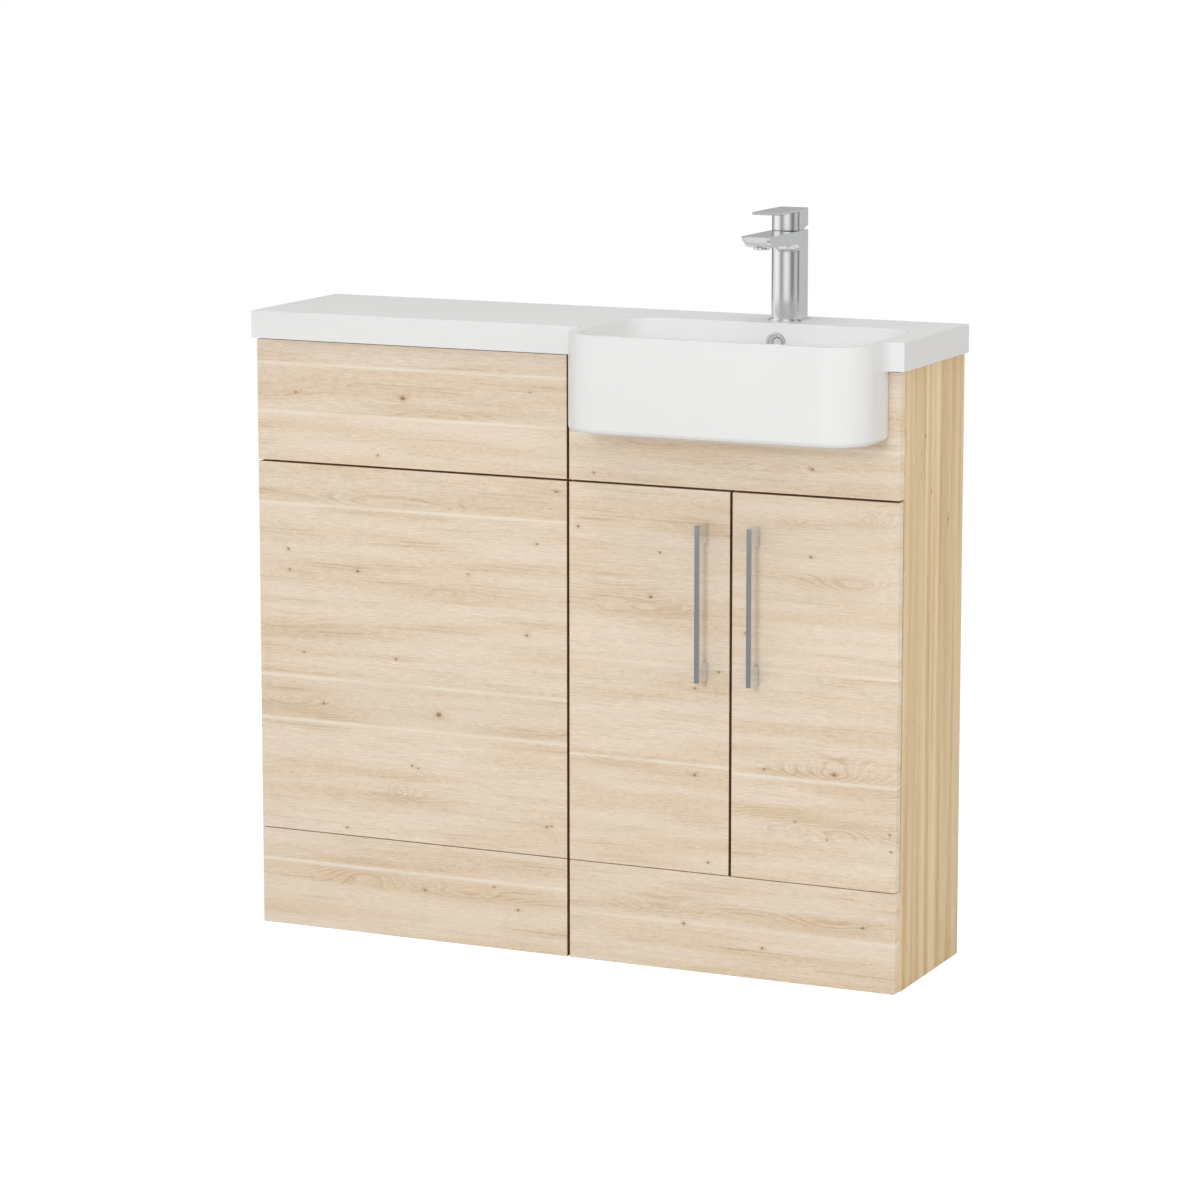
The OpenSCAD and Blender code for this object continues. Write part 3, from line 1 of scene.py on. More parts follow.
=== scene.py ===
"""Looks for the toilet and basin combination unit.

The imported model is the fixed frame. Most pieces are copies of its nodes with their edges
rounded. The tap, the overflow ring, the panel round the bowl and some screws get finer forms,
and the nuts get ribs. Lengths here are in millimetres in the cabinets' own frame (X = 0 where
the cabinets meet, Y = 0 at the faces of the doors, Z = 0 on the floor), and at() turns them
into the frame's metres.
"""

import json
import math

import bmesh
import bpy
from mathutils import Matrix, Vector

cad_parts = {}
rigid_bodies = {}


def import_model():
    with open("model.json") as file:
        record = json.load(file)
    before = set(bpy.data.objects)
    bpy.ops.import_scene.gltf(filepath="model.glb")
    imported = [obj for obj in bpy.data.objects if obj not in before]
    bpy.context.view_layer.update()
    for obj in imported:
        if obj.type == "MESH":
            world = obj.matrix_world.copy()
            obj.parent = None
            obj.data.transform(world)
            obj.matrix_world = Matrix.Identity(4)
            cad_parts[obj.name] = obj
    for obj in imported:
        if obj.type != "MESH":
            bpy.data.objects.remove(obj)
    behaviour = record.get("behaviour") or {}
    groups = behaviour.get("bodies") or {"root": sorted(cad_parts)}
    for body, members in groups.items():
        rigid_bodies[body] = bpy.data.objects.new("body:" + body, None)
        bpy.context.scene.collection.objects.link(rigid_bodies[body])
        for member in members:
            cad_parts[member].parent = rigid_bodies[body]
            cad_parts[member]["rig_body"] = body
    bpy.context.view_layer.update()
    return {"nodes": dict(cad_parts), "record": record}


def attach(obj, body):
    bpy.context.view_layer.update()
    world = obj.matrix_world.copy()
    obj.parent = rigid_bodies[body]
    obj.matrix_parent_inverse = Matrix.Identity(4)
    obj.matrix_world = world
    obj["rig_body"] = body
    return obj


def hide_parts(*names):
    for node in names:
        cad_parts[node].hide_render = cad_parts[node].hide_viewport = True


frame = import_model()

MM = 0.001
ORIGIN_X, ORIGIN_Y = 2.0, 70.5      # the frame's origin in the cabinets' millimetres
WHITE = (1.0, 1.0, 1.0)


def at(x, y, z):
    """A point of the cabinets' frame, in millimetres, as a point of the frame, in metres."""
    return Vector(((x - ORIGIN_X) * MM, (y - ORIGIN_Y) * MM, z * MM))


# ---------------------------------------------------------------- camera and lights

CAMERA_PLACE = (2.4740, -5.36746, 1.54820)      # metres
CAMERA_TILT, CAMERA_TURN = 81.33, 24.61         # degrees
CAMERA_LENS, SENSOR_WIDTH = 125.784, 36.0       # millimetres
CAMERA_SHIFT = -0.08                            # of the picture's width
CAMERA_REACH = 60.0                             # metres

# name, place, target, size, power in watts, colour
LIGHTS = [
    ("key", (0.3, -4.9, 1.8), (0.1, 0.0, 0.45), (1.1, 1.1), 65.0, (0.97, 1.0, 1.035)),
    ("top", (0.3, -0.6, 3.6), (0.0, 0.0, 0.8), (2.4, 2.0), 49.0, WHITE),
    ("side", (3.6, -1.0, 1.6), (0.4, 0.0, 0.5), (1.8, 2.0), 20.0, WHITE),
]


def make_camera():
    data = bpy.data.cameras.new("camera")
    data.sensor_width = SENSOR_WIDTH
    data.lens = CAMERA_LENS
    data.shift_y = CAMERA_SHIFT
    data.clip_end = CAMERA_REACH
    camera = bpy.data.objects.new("camera", data)
    camera.location = CAMERA_PLACE
    camera.rotation_euler = (math.radians(CAMERA_TILT), 0.0, math.radians(CAMERA_TURN))
    bpy.context.scene.collection.objects.link(camera)
    bpy.context.scene.camera = camera


def area_light(name, place, target, size, power, colour):
    """A rectangular lamp that lights the object but doesn't show in metal."""
    data = bpy.data.lights.new(name, "AREA")
    data.shape = "RECTANGLE"
    data.size, data.size_y = size
    data.energy = power
    data.color = colour
    light = bpy.data.objects.new(name, data)
    light.location = place
    light.visible_glossy = False
    light.rotation_euler = (Vector(target) - Vector(place)).to_track_quat("-Z", "Y").to_euler()
    bpy.context.scene.collection.objects.link(light)


# ---------------------------------------------------------------- node trees

class Wire:
    """A socket of a node tree. Arithmetic on it adds Math nodes."""

    def __init__(self, tree, socket):
        self.tree, self.socket = tree, socket

    def math(self, operation, *others, clamp=False):
        inputs = dict(enumerate((self,) + others))
        return self.tree.add("Math", inputs, operation=operation, use_clamp=clamp)

    def __add__(self, other):
        return self.math("ADD", other)

    def __sub__(self, other):
        return self.math("SUBTRACT", other)

    def __mul__(self, other):
        return self.math("MULTIPLY", other)

    def __truediv__(self, other):
        return self.math("DIVIDE", other)

    def __pow__(self, other):
        return self.math("POWER", other)

    __radd__, __rmul__ = __add__, __mul__

    def clamp(self):
        return self.math("ADD", 0.0, clamp=True)

    def remap(self, low, high):
        """This value as a smooth step from 0 at low to 1 at high."""
        inputs = {"Value": self, "From Min": low, "From Max": high}
        return self.tree.add("MapRange", inputs, interpolation_type="SMOOTHSTEP")

    def parts(self):
        """The X, Y and Z of a vector."""
        node = self.tree.nodes.new("ShaderNodeSeparateXYZ")
        self.tree.links.new(self.socket, node.inputs[0])
        return [Wire(self.tree, out) for out in node.outputs]


class Tree:
    """A node tree with short calls for the nodes used here."""

    def __init__(self, node_tree):
        self.nodes, self.links = node_tree.nodes, node_tree.links

    def add(self, kind, inputs=(), output=0, **settings):
        """One output of a new node of that kind."""
        node = self.nodes.new("ShaderNode" + kind)
        for name, value in settings.items():
            setattr(node, name, value)
        self.feed(node, dict(inputs))
        return Wire(self, node.outputs[output])

    def feed(self, node, inputs):
        """Links wires to a node's inputs, and sets the others to plain values."""
        for name, value in inputs.items():
            if isinstance(value, Wire):
                self.links.new(value.socket, node.inputs[name])
            else:
                node.inputs[name].default_value = value

    def vector(self, x, y, z=0.0):
        return self.add("CombineXYZ", {0: x, 1: y, 2: z})

    def noise(self, vector, scale=1.0, detail=2.0, roughness=0.5):
        return self.add("TexNoise", {"Vector": vector, "Scale": scale, "Detail": detail,
                                     "Roughness": roughness})

    def ramp(self, factor, *stops):
        """A grey that goes through (place, level) stops."""
        node = self.nodes.new("ShaderNodeValToRGB")
        band = node.color_ramp.elements
        while len(band) < len(stops):
            band.new(0.5)
        for element, (place, level) in zip(band, stops):
            element.position = place
            element.color = (level, level, level, 1.0)
        self.links.new(factor.socket, node.inputs[0])
        return Wire(self, node.outputs[0])

    def mix(self, factor, a, b, blend="MIX"):
        """Colours a and b mixed."""
        node = self.nodes.new("ShaderNodeMix")
        node.data_type, node.blend_type = "RGBA", blend
        rgb = [(*c, 1.0) if isinstance(c, tuple) else c for c in (a, b)]
        self.feed(node, {0: factor, 6: rgb[0], 7: rgb[1]})
        return Wire(self, node.outputs[2])


def srgb(r, g, b):
    """A colour of 0..255 levels as linear light."""
    return tuple(((c / 255 + 0.055) / 1.055) ** 2.4 if c > 10 else c / 255 / 12.92
                 for c in (r, g, b))


class Material(Tree):
    """A Principled material. Its place is in millimetres of the frame."""

    def __init__(self, name, **settings):
        self.material = bpy.data.materials.new(name)
        self.material.use_nodes = True
        super().__init__(self.material.node_tree)
        self.shader = self.nodes["Principled BSDF"]
        self.feed(self.shader, {k.replace("_", " "): v for k, v in settings.items()})
        place = self.add("TexCoord", output=3)
        self.place = self.add("VectorMath", {0: place, 3: 1 / MM}, operation="SCALE")

    def shade(self, **inputs):
        self.feed(self.shader, {k.replace("_", " "): v for k, v in inputs.items()})

    def bump(self, height, distance):
        """Relief of that height, 0..1 meaning that distance in millimetres."""
        relief = {"Height": height, "Distance": distance * MM, "Strength": 1.0}
        self.shade(Normal=self.add("Bump", relief))


# ---------------------------------------------------------------- oak foil

CREAM = srgb(234, 219, 200)
TAN = srgb(222, 198, 165)
STREAK = srgb(184, 150, 106)
PALE = srgb(240, 230, 213)
KNOT = srgb(136, 82, 34)

# painted shade and light on a board's narrow faces, as multipliers: shade in a level gap, darker
# shade in an upright gap, and light outside the gaps
LEVEL_GAP_SHADE = (0.74, 0.56, 0.39)
UPRIGHT_GAP_SHADE = (0.46, 0.28, 0.16)
OUTER_EDGE_LIGHT = (1.14, 1.17, 1.18)

STAVE_BLEND = 0.4                   # how softly two staves meet, in millimetres
STAVE_STEP = 3.7                    # how far apart in the noise two staves are cut
GRAIN_DEPTH = 0.02                  # how fast the noise changes through the board
GLUE_LINE = 2.6                     # the pale line under a stave's upper edge
LATE_WOOD, FINE_RINGS = 5.6, 2.3    # how far apart the dark and the fine lines are

# noise drawn out along the grain: length, width, detail, roughness, and a shift of its own
WAVER = (460.0, 80.0, 1.0, 0.5, 0.0)
WIGGLE = (110.0, 16.0, 1.0, 0.5, 5.0)
SHOW = (150.0, 11.0, 1.0, 0.5, 11.0)
ZONE = (300.0, 22.0, 1.5, 0.5, 23.0)
FIBRE = (15.0, 1.5, 1.0, 0.6, 31.0)
SILK = (70.0, 2.6, 1.0, 0.6, 41.0)
PORES = (7.0, 1.1, 0.0, 0.5, 51.0)
FADE = (240.0, 60.0, 1.0, 0.5, 61.0)
WAVER_RISE, WIGGLE_RISE = 30.0, 5.0     # how far they bend the grain, in millimetres

# how strongly a layer colours the foil, or at least and how much more where its mask is 1
ZONE_DEPTH, FIBRE_TONE, SILK_TONE, HALO_DEPTH = 0.54, 0.34, 0.09, 0.38
LATE_DEPTH, FINE_DEPTH = (0.10, 0.36), (0.07, 0.13)
PORE_DEPTH, GLUE_DEPTH = (0.12, 0.28), (0.4, 0.45)

# a knot's bend of the grain, its halo and its core: half length and half width in its radii
KNEE, HALO, CORE = (6, 2.4), (3.0, 1.8), (1.1, 0.9)
KNEE_RISE = 2.0


def bell(tree, place, x, y, half_w, half_h):
    """1 at (x, y), falling smoothly to nothing past the half sizes."""
    offset = (-x / half_w, -y / half_h, 0.0)
    near = tree.add("VectorMath", {0: place, 1: (1 / half_w, 1 / half_h, 0.0), 2: offset},
                    operation="MULTIPLY_ADD")
    square = tree.add("VectorMath", {0: near, 1: near}, output=1, operation="DOT_PRODUCT")
    return (square * -1.0).math("EXPONENT")


def total(wires):
    """The sum of some wires, or nothing if there are none."""
    result = None
    for wire in wires:
        result = wire if result is None else result + wire
    return result


def oak(name, along, across, staves=((0, 1.0),), figures=(), knots=(), shades=(),
        tint=(1, 1, 1), bold=1.0, reach=1.0, seed=0.0, gap_edges=None):
    """Oak foil. along and across are the axes of the grain and of its width, in the
    cabinets' millimetres. staves are (lower edge, tone), figures are (along, across, half
    length, half width, rise) that bend the grain into eyes and arches, knots are (along,
    across, radius), and shades are (along, across, half length, half width, depth) that
    darken or, below zero, lighten the foil. bold is how strong the streaks are and reach how
    long, both against the fronts'. gap_edges are the along values between which the board's
    narrow faces face a gap and get painted shade, darker on upright faces; beyond them the
    narrow faces get painted light."""
    m = Material(name, IOR=1.45)
    axes = dict(zip("xyz", m.place.parts()))
    origin = {"x": ORIGIN_X, "y": ORIGIN_Y, "z": 0.0}
    u = axes[along] + origin[along]
    v = axes[across] + origin[across]
    third = next(a for a in "xyz" if a not in (along, across))
    spot = m.vector(u, v)

    # each stave has its own tone and its own piece of the grain
    edges = [edge for edge, tone in staves[1:]]
    tones = [tone for edge, tone in staves]
    steps = [(v - edge).remap(-STAVE_BLEND, STAVE_BLEND) for edge in edges]
    stave = total([step * STAVE_STEP for step in steps])
    stave = stave + seed if edges else seed
    tone = total([step * (high - low) for step, low, high in zip(steps, tones, tones[1:])])
    depth = axes[third] * GRAIN_DEPTH + stave

    def streaks(length, width, detail, rough, shift):
        """Noise drawn out along the grain, 0..1. The shift keeps two layers apart."""
        place = m.vector(u / (length * reach), v / width, depth + shift)
        return m.noise(place, 1.0, detail, rough)

    def around(knot, size):
        """A bell round a knot, of half sizes given in the knot's radii."""
        x, y, radius = knot
        return bell(m, spot, x, y, radius * size[0], radius * size[1])

    def weight(mask, strength):
        """A strength given as (least, how much more where the mask is 1)."""
        least, more = strength
        return mask * more + least

    # the grain's own coordinate across the board, in millimetres
    grain = v + (streaks(*WAVER) - 0.5) * WAVER_RISE
    grain = grain + (streaks(*WIGGLE) - 0.5) * WIGGLE_RISE
    lumps = [bell(m, spot, *figure[:4]) for figure in figures]
    knees = [around(knot, KNEE) for knot in knots]
    for lump, figure in zip(lumps, figures):
        grain = grain + lump * figure[4]
    for knee, knot in zip(knees, knots):
        grain = grain + knee * (knot[2] * KNEE_RISE)

    def rings(spacing, *stops):
        """A line each spacing across the grain, drawn by stops of (place, depth)."""
        return m.ramp((grain / spacing).math("FRACT"), *stops)

    # the late wood's lines show in patches, and always near a knot or a figure
    late = rings(LATE_WOOD, (0.0, 0.0), (0.45, 0.05), (0.78, 0.9), (0.86, 1.0), (1.0, 0.0))
    fine = rings(FINE_RINGS, (0.0, 0.0), (0.7, 1.0), (1.0, 0.0))
    show = streaks(*SHOW).remap(0.48, 0.74)
    near = total(lumps + knees)
    if near is not None:
        show = (show + near * 0.8).clamp()

    # broad bands, fibres, long silk and short pores
    zone = streaks(*ZONE).remap(0.34, 0.72)
    for figure in shades:
        zone = zone + bell(m, spot, *figure[:4]) * figure[4]
    zone = zone.clamp()
    fibre = streaks(*FIBRE)
    silk = streaks(*SILK)
    pores = streaks(*PORES).remap(0.60, 0.82)

    colour = m.mix((zone * (ZONE_DEPTH * bold)).clamp(), CREAM, TAN)
    colour = m.mix((late * show * weight(zone, LATE_DEPTH) * bold).clamp(), colour, STREAK)
    colour = m.mix(fine * weight(show, FINE_DEPTH), colour, STREAK)
    colour = m.mix(pores * weight(zone, PORE_DEPTH), colour, STREAK)
    level = (fibre - 0.5) * FIBRE_TONE + (silk - 0.5) * (SILK_TONE * bold) + tones[0]
    if edges:
        level = level + tone
    colour = m.mix(1.0, colour, m.vector(level, level, level), "MULTIPLY")
    if edges:
        glue = total([(((v - (edge - GLUE_LINE)) / GLUE_LINE) ** 2.0 * -1.0).math("EXPONENT")
                      for edge in edges])
        fade = streaks(*FADE).remap(0.3, 0.6)
        colour = m.mix((glue * weight(fade, GLUE_DEPTH)).clamp(), colour, PALE)
    for knot in knots:
        colour = m.mix((around(knot, HALO) * HALO_DEPTH).clamp(), colour, STREAK)
        core = around(knot, CORE)
        ragged = (core + (fibre - 0.5) * core * 0.9).clamp()
        eye = m.ramp(ragged, (0.0, 0.0), (0.30, 0.25), (0.50, 0.80), (0.72, 0.55), (0.9, 0.70))
        colour = m.mix(eye, colour, KNOT)
    colour = m.mix(1.0, colour, tuple(tint), "MULTIPLY")
    # painted shade on the narrow faces that face a gap, darker on upright ones, and painted
    # light on the outer ones
    if gap_edges:
        facing = m.add("TexCoord", output=1).parts()
        narrow = facing[1].math("ABSOLUTE").remap(0.9, 0.4)
        first, last = gap_edges
        inside = (u - first).remap(-0.2, 0.2) * (u - last).remap(0.2, -0.2)
        gap = m.mix(facing[0].math("ABSOLUTE"), LEVEL_GAP_SHADE, UPRIGHT_GAP_SHADE)
        edge_shade_and_light = m.mix(inside, OUTER_EDGE_LIGHT, gap)
        colour = m.mix(narrow, colour, m.mix(1.0, colour, edge_shade_and_light, "MULTIPLY"))
    m.shade(Base_Color=colour, Roughness=(fibre * 0.12 + late * show * 0.06 + 0.46))
    m.bump(fibre * 0.6 + late * show * -0.4 + silk * 0.2, 0.04)
    return m.material


FRONTS_ENDS = (-497.0, 497.0)       # the narrow faces beyond these face no gap and get painted light in place of painted shade

# the grain of each front: where its staves, knots, figures and shades lie, as oak() takes them
FOIL = {
    "wc_top_panel": dict(
        staves=[(692, 1.0), (766, 0.975), (837, 0.985)],
        knots=[(-435, 793, 1.6), (-261, 793, 3.0), (-59, 812, 1.0), (-302, 708, 1.3)],
        figures=[(-470, 786, 60, 12, 16), (-203, 774, 90, 10, -14), (-300, 780, 50, 8, 10)],
        shades=[(-430, 795, 120, 16, 0.4), (-160, 775, 160, 10, 0.5)]),
    "wc_front_panel": dict(
        staves=[(144, 1.0), (312, 0.975), (377, 1.0), (632, 0.98)],
        knots=[(-450, 562, 1.6), (-448, 532, 1.2), (-336, 537, 1.8), (-18, 673, 1.6),
               (-49, 596, 1.4), (-65, 463, 1.7), (-426, 411, 1.2), (-275, 412, 1.5),
               (-158, 545, 0.9), (-394, 337, 1.7), (-206, 336, 3.2), (-250, 257, 1.3),
               (-240, 254, 1.2), (-357, 155, 1.3), (-34, 187, 1.5), (-26, 189, 1.1)],
        figures=[(-300, 636, 110, 16, 26), (-200, 634, 60, 10, 14), (-195, 519, 40, 9, -14),
                 (-275, 211, 26, 17, 26), (-225, 205, 60, 16, 15), (-381, 201, 16, 7, 8),
                 (-450, 333, 70, 14, 20), (-60, 322, 120, 9, 14), (-439, 443, 120, 12, 10)],
        shades=[(-330, 655, 200, 22, 0.5), (-90, 650, 120, 18, 0.5), (-420, 540, 120, 14, 0.5),
                (-400, 444, 190, 10, 0.8), (-240, 215, 110, 18, 0.3), (-430, 325, 110, 22, 0.4),
                (-60, 322, 120, 10, 0.5), (-150, 600, 80, 8, 0.35)]),
    "wc_plinth": dict(
        staves=[(0, 1.0), (100, 0.985)],
        knots=[(-230, 74, 1.6), (-118, 90, 1.2), (-80, 60, 1.6)],
        figures=[(-330, 90, 70, 22, -30), (-160, 72, 80, 14, 20)],
        shades=[(-300, 92, 160, 20, 0.4), (-120, 80, 90, 14, 0.7)]),
    "vanity_fascia": dict(
        staves=[(692, 0.99), (760, 0.98)],
        knots=[(40, 704, 1.2), (370, 728, 1.8)],
        figures=[(130, 748, 80, 14, 16), (330, 735, 70, 14, -16)],
        shades=[(130, 748, 100, 14, 0.5), (260, 744, 80, 12, 0.6), (440, 735, 50, 12, 0.3)]),
    "door_left": dict(
        staves=[(144, 1.0), (301, 1.0), (441, 1.02)],
        knots=[(16, 626, 1.6), (142, 597, 1.3), (128, 533, 2.0), (232, 434, 1.5),
               (196, 408, 1.3), (196, 284, 1.8), (217, 160, 1.5)],
        figures=[(60, 508, 30, 12, 16), (120, 512, 40, 12, 18), (175, 514, 30, 12, 12),
                 (52, 294, 36, 12, 16), (112, 296, 30, 9, 12), (60, 545, 90, 10, 8)],
        shades=[(80, 540, 110, 12, 0.5), (170, 520, 60, 16, 0.5), (90, 292, 110, 14, 0.7),
                (90, 415, 110, 14, 0.4), (200, 635, 40, 12, 0.4)]),
    "door_right": dict(
        staves=[(144, 1.0), (294, 1.0), (446, 1.02)],
        knots=[(369, 606, 1.5), (273, 492, 1.7), (406, 303, 2.2),
               (301, 302, 1.4), (348, 231, 1.2), (396, 210, 1.1), (489, 226, 1.4),
               (491, 202, 1.3)],
        figures=[(449, 660, 24, 16, 26), (480, 655, 40, 14, 14), (345, 652, 16, 7, 8),
                 (430, 566, 60, 16, 22), (410, 300, 62, 26, 34), (330, 300, 40, 10, 10),
                 (420, 226, 60, 20, -26), (310, 228, 40, 16, -16), (360, 228, 30, 14, -12)],
        shades=[(440, 660, 60, 16, 0.3), (400, 570, 100, 14, 0.5), (420, 302, 90, 16, 0.6),
                (420, 228, 90, 14, 0.4), (320, 300, 50, 8, 0.4), (380, 432, 110, 10, 0.5)]),
    "vanity_plinth": dict(
        staves=[(0, 1.0), (72, 0.985)],
        knots=[(180, 68, 1.8), (300, 45, 1.5), (450, 90, 1.6)],
        figures=[(150, 84, 70, 16, 20), (400, 88, 70, 14, 18)],
        shades=[(120, 92, 120, 14, 0.6), (380, 92, 90, 14, 0.4)]),
}


def side_foil():
    """The upright foil of the cabinets' sides."""
    return oak("side_wood", "z", "y", seed=1.0, tint=(1.09, 1.02, 0.82), bold=1.9, reach=2.4,
               staves=[(0, 1.0), (105, 0.99), (128, 1.06), (150, 0.98)],
               knots=[(640, 190, 2.0), (770, 95, 1.5), (690, 120, 1.2)],
               figures=[(730, 75, 60, 12, 16), (600, 180, 160, 10, 10)],
               shades=[(400, 70, 300, 14, 0.5), (500, 185, 300, 12, 0.7)])


# ---------------------------------------------------------------- other finishes

def cast_white():
    """Glossy cast mineral, very slightly cloudy."""
    m = Material("cast_white", Roughness=0.2, IOR=1.45, Coat_Weight=0.15, Coat_Roughness=0.06)
    cloud = m.noise(m.place, 0.012, 3.0, 0.5)
    m.shade(Base_Color=m.mix(cloud, srgb(230, 230, 230), srgb(234, 234, 234)))
    m.bump(m.noise(m.place, 0.06, 2.0), 0.03)
    return m.material


def metal(name, colour, rough, grain, size=0.08):
    """Metal whose roughness varies by grain, in noise of that size per millimetre."""
    m = Material(name, Metallic=1.0)
    wipe = m.noise(m.place, size, 4.0, 0.6)
    m.shade(Base_Color=m.mix(wipe, tuple(0.97 * c for c in colour), colour),
            Roughness=wipe * grain + rough)
    m.bump(wipe, 0.01)
    return m.material


def plastic(name, colour, rough):
    """Moulded plastic or rubber with a slightly uneven surface."""
    m = Material(name, IOR=1.46)
    mould = m.noise(m.place, 0.5, 4.0, 0.6)
    m.shade(Base_Color=m.mix(mould, tuple(0.94 * c for c in colour), colour),
            Roughness=mould * 0.1 + rough)
    m.bump(mould, 0.03)
    return m.material


BOARD_TINT = (0.96, 0.93, 0.88)

FINISHES = {
    "cast_white": cast_white(),
    "chrome": metal("chrome", (0.80, 0.81, 0.82), 0.11, 0.04),
    "handle_metal": metal("handle_metal", (0.80, 0.825, 0.845), 0.10, 0.05, 0.5),
    "steel": metal("steel", (0.66, 0.67, 0.68), 0.28, 0.16, 0.3),
    "white_plastic": plastic("white_plastic", (0.78, 0.78, 0.76), 0.35),
    "grey_plastic": plastic("grey_plastic", (0.30, 0.32, 0.33), 0.45),
    "rubber": plastic("rubber", (0.025, 0.025, 0.026), 0.7),
    "aerator_mesh": plastic("aerator_mesh", (0.10, 0.10, 0.11), 0.5),
    "carcass_board": oak("carcass_board", "x", "y", seed=3.0, tint=BOARD_TINT),
    "upright_board": oak("upright_board", "x", "z", seed=4.0, tint=BOARD_TINT),
    "side_wood": side_foil(),
}

# the boards that stand on edge, so that their grain is drawn on the upright face
UPRIGHT_BOARDS = ("vanity_front_rail", "vanity_back_rail", "wc_back_rail", "wc_mid_rail")

# the rounding of each slot's edges, in millimetres
EDGES = {"front_wood": 0.7, "side_wood": 0.5, "carcass_board": 0.4, "cast_white": 1.6,
         "chrome": 0.5, "handle_metal": 0.4, "steel": 0.2, "white_plastic": 0.4,
         "grey_plastic": 0.4, "rubber": 0.3}


# ---------------------------------------------------------------- building blocks

SHARP = 32.0                # degrees from which an edge counts as sharp
WELD = 1e-6                 # metres within which a node's points are the same
FLAT = math.radians(0.1)    # how far two faces of one flat face may lean apart


def turns(count):
    """That many equal steps round a circle, in radians."""
    return [2 * math.pi * i / count for i in range(count)]


def finish(piece, body, slot, material, edge, angle=SHARP, node=None):
    """Rounds a piece's sharp edges by that radius in millimetres, smooths the rest and puts
    it on its body. With a node, the piece stands for that CAD node."""
    mesh = piece.data
    for face in mesh.polygons:
        face.use_smooth = True
    mesh.materials.clear()
    mesh.materials.append(material)
    bpy.context.scene.collection.objects.link(piece)
    mesh.set_sharp_from_angle(angle=math.radians(angle))
    if edge:
        bevel = piece.modifiers.new("edges", "BEVEL")
        bevel.width = edge * MM
        bevel.segments = 2
        bevel.limit_method = "ANGLE"
        bevel.angle_limit = math.radians(angle)
        bevel.harden_normals = True
    weigh = piece.modifiers.new("flats", "WEIGHTED_NORMAL")
    weigh.keep_sharp = True
    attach(piece, body)
    if node:
        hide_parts(node)
    return piece


def copied(node):
    """A copy of a CAD node with its flat faces whole."""
    mesh = frame["nodes"][node].data.copy()
    form = bmesh.new()
    form.from_mesh(mesh)
    bmesh.ops.remove_doubles(form, verts=form.verts, dist=WELD)
    bmesh.ops.dissolve_limit(form, angle_limit=FLAT, verts=form.verts, edges=form.edges)
    form.to_mesh(mesh)
    form.free()
    return bpy.data.objects.new(node + "_piece", mesh)


def dressed(node, slot, material, edge, piece=None):
    """A copy of a CAD node, or a piece that was made from one, with rounded edges in its
    place."""
    body = frame["nodes"][node]["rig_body"]
    return finish(piece or copied(node), body, slot, material, edge, node=node)


def skin(name, points, faces):
    """An object of those points, in the cabinets' millimetres, and faces."""
    mesh = bpy.data.meshes.new(name)
    mesh.from_pydata([at(*p) for p in points], [], faces)
    form = bmesh.new()
    form.from_mesh(mesh)
    bmesh.ops.recalc_face_normals(form, faces=form.faces)
    form.to_mesh(mesh)
    form.free()
    return bpy.data.objects.new(name, mesh)


def loft(name, rings, closed=False):
    """A skin through rings of as many points each, capped at both ends or, if closed,
    joined from the last ring to the first."""
    n = len(rings[0])
    points = [p for ring in rings for p in ring]
    pairs = list(zip(range(len(rings)), range(1, len(rings))))
    if closed:
        pairs.append((len(rings) - 1, 0))
    faces = [(a * n + i, a * n + (i + 1) % n, b * n + (i + 1) % n, b * n + i)
             for a, b in pairs for i in range(n)]
    if not closed:
        faces.append(tuple(range(n - 1, -1, -1)))
        faces.append(tuple(range((len(rings) - 1) * n, len(rings) * n)))
    return skin(name, points, faces)


def carve(piece, cutters):
    """Cuts other objects out of a piece and throws them away."""
    scene = bpy.context.scene
    scene.collection.objects.link(piece)
    for cutter in cutters:
        scene.collection.objects.link(cutter)
        cut = piece.modifiers.new("cut", "BOOLEAN")
        cut.object = cutter
        cut.solver = "EXACT"
    scene.view_layers[0].update()
    view = bpy.context.evaluated_depsgraph_get()
    mesh = bpy.data.meshes.new_from_object(piece.evaluated_get(view))
    piece.modifiers.clear()
    piece.data = mesh
    for cutter in cutters:
        bpy.data.objects.remove(cutter)
    scene.collection.objects.unlink(piece)
    return piece


def circle(x, y, z, radius, sides):
    """The points of a level circle."""
    return [(x + radius * math.cos(t), y + radius * math.sin(t), z) for t in turns(sides)]


def rod(x, y, z0, z1, radius, sides=48):
    """An upright cylinder."""
    return loft("rod", [circle(x, y, z, radius, sides) for z in (z0, z1)])


# ---------------------------------------------------------------- tap

TAP_X, TAP_BACK, TAP_SIDE, TAP_W, TAP_BULGE = 255.0, 214.0, 181.0, 42.0, 9.0
TAP_FOOT, TAP_TOP = 913.0, 1038.0
SPOUT_H, SPOUT_TIP, SPOUT_SLANT, SPOUT_ROUND, SPOUT_FILLET = 16.0, 66.0, 17.0, 2.6, 14.0
SPOUT_LOW = TAP_TOP - SPOUT_H
FRONT_STEPS, FILLET_STEPS, TIP_STEPS = 28, 10, 8

# the bores: places along Y, radii, and how far the pair for the tails stands off the middle
CARTRIDGE_Y, CARTRIDGE_BORE, CARTRIDGE_DEPTH = 195.0, 13.05, 36.0
AERATOR_Y, AERATOR_BORE, AERATOR_DEPTH = 93.0, 10.05, 8.0
STUD_Y, STUD_BORE = 209.0, 3.05
TAIL_Y, TAIL_BORE, TAIL_OFF = 188.0, 4.55, 8.0
BORE_LOW, STUD_TOP, TAIL_TOP = 905.0, 930.0, 933.0
SMALL_BORE_SIDES = 24

# the plate under the column: height, and how far it stands past the column there
PLATE_PROFILE = ((910.0, 4.0), (911.8, 4.0), (913.0, 3.4))
PLATE_BORE = 17.3

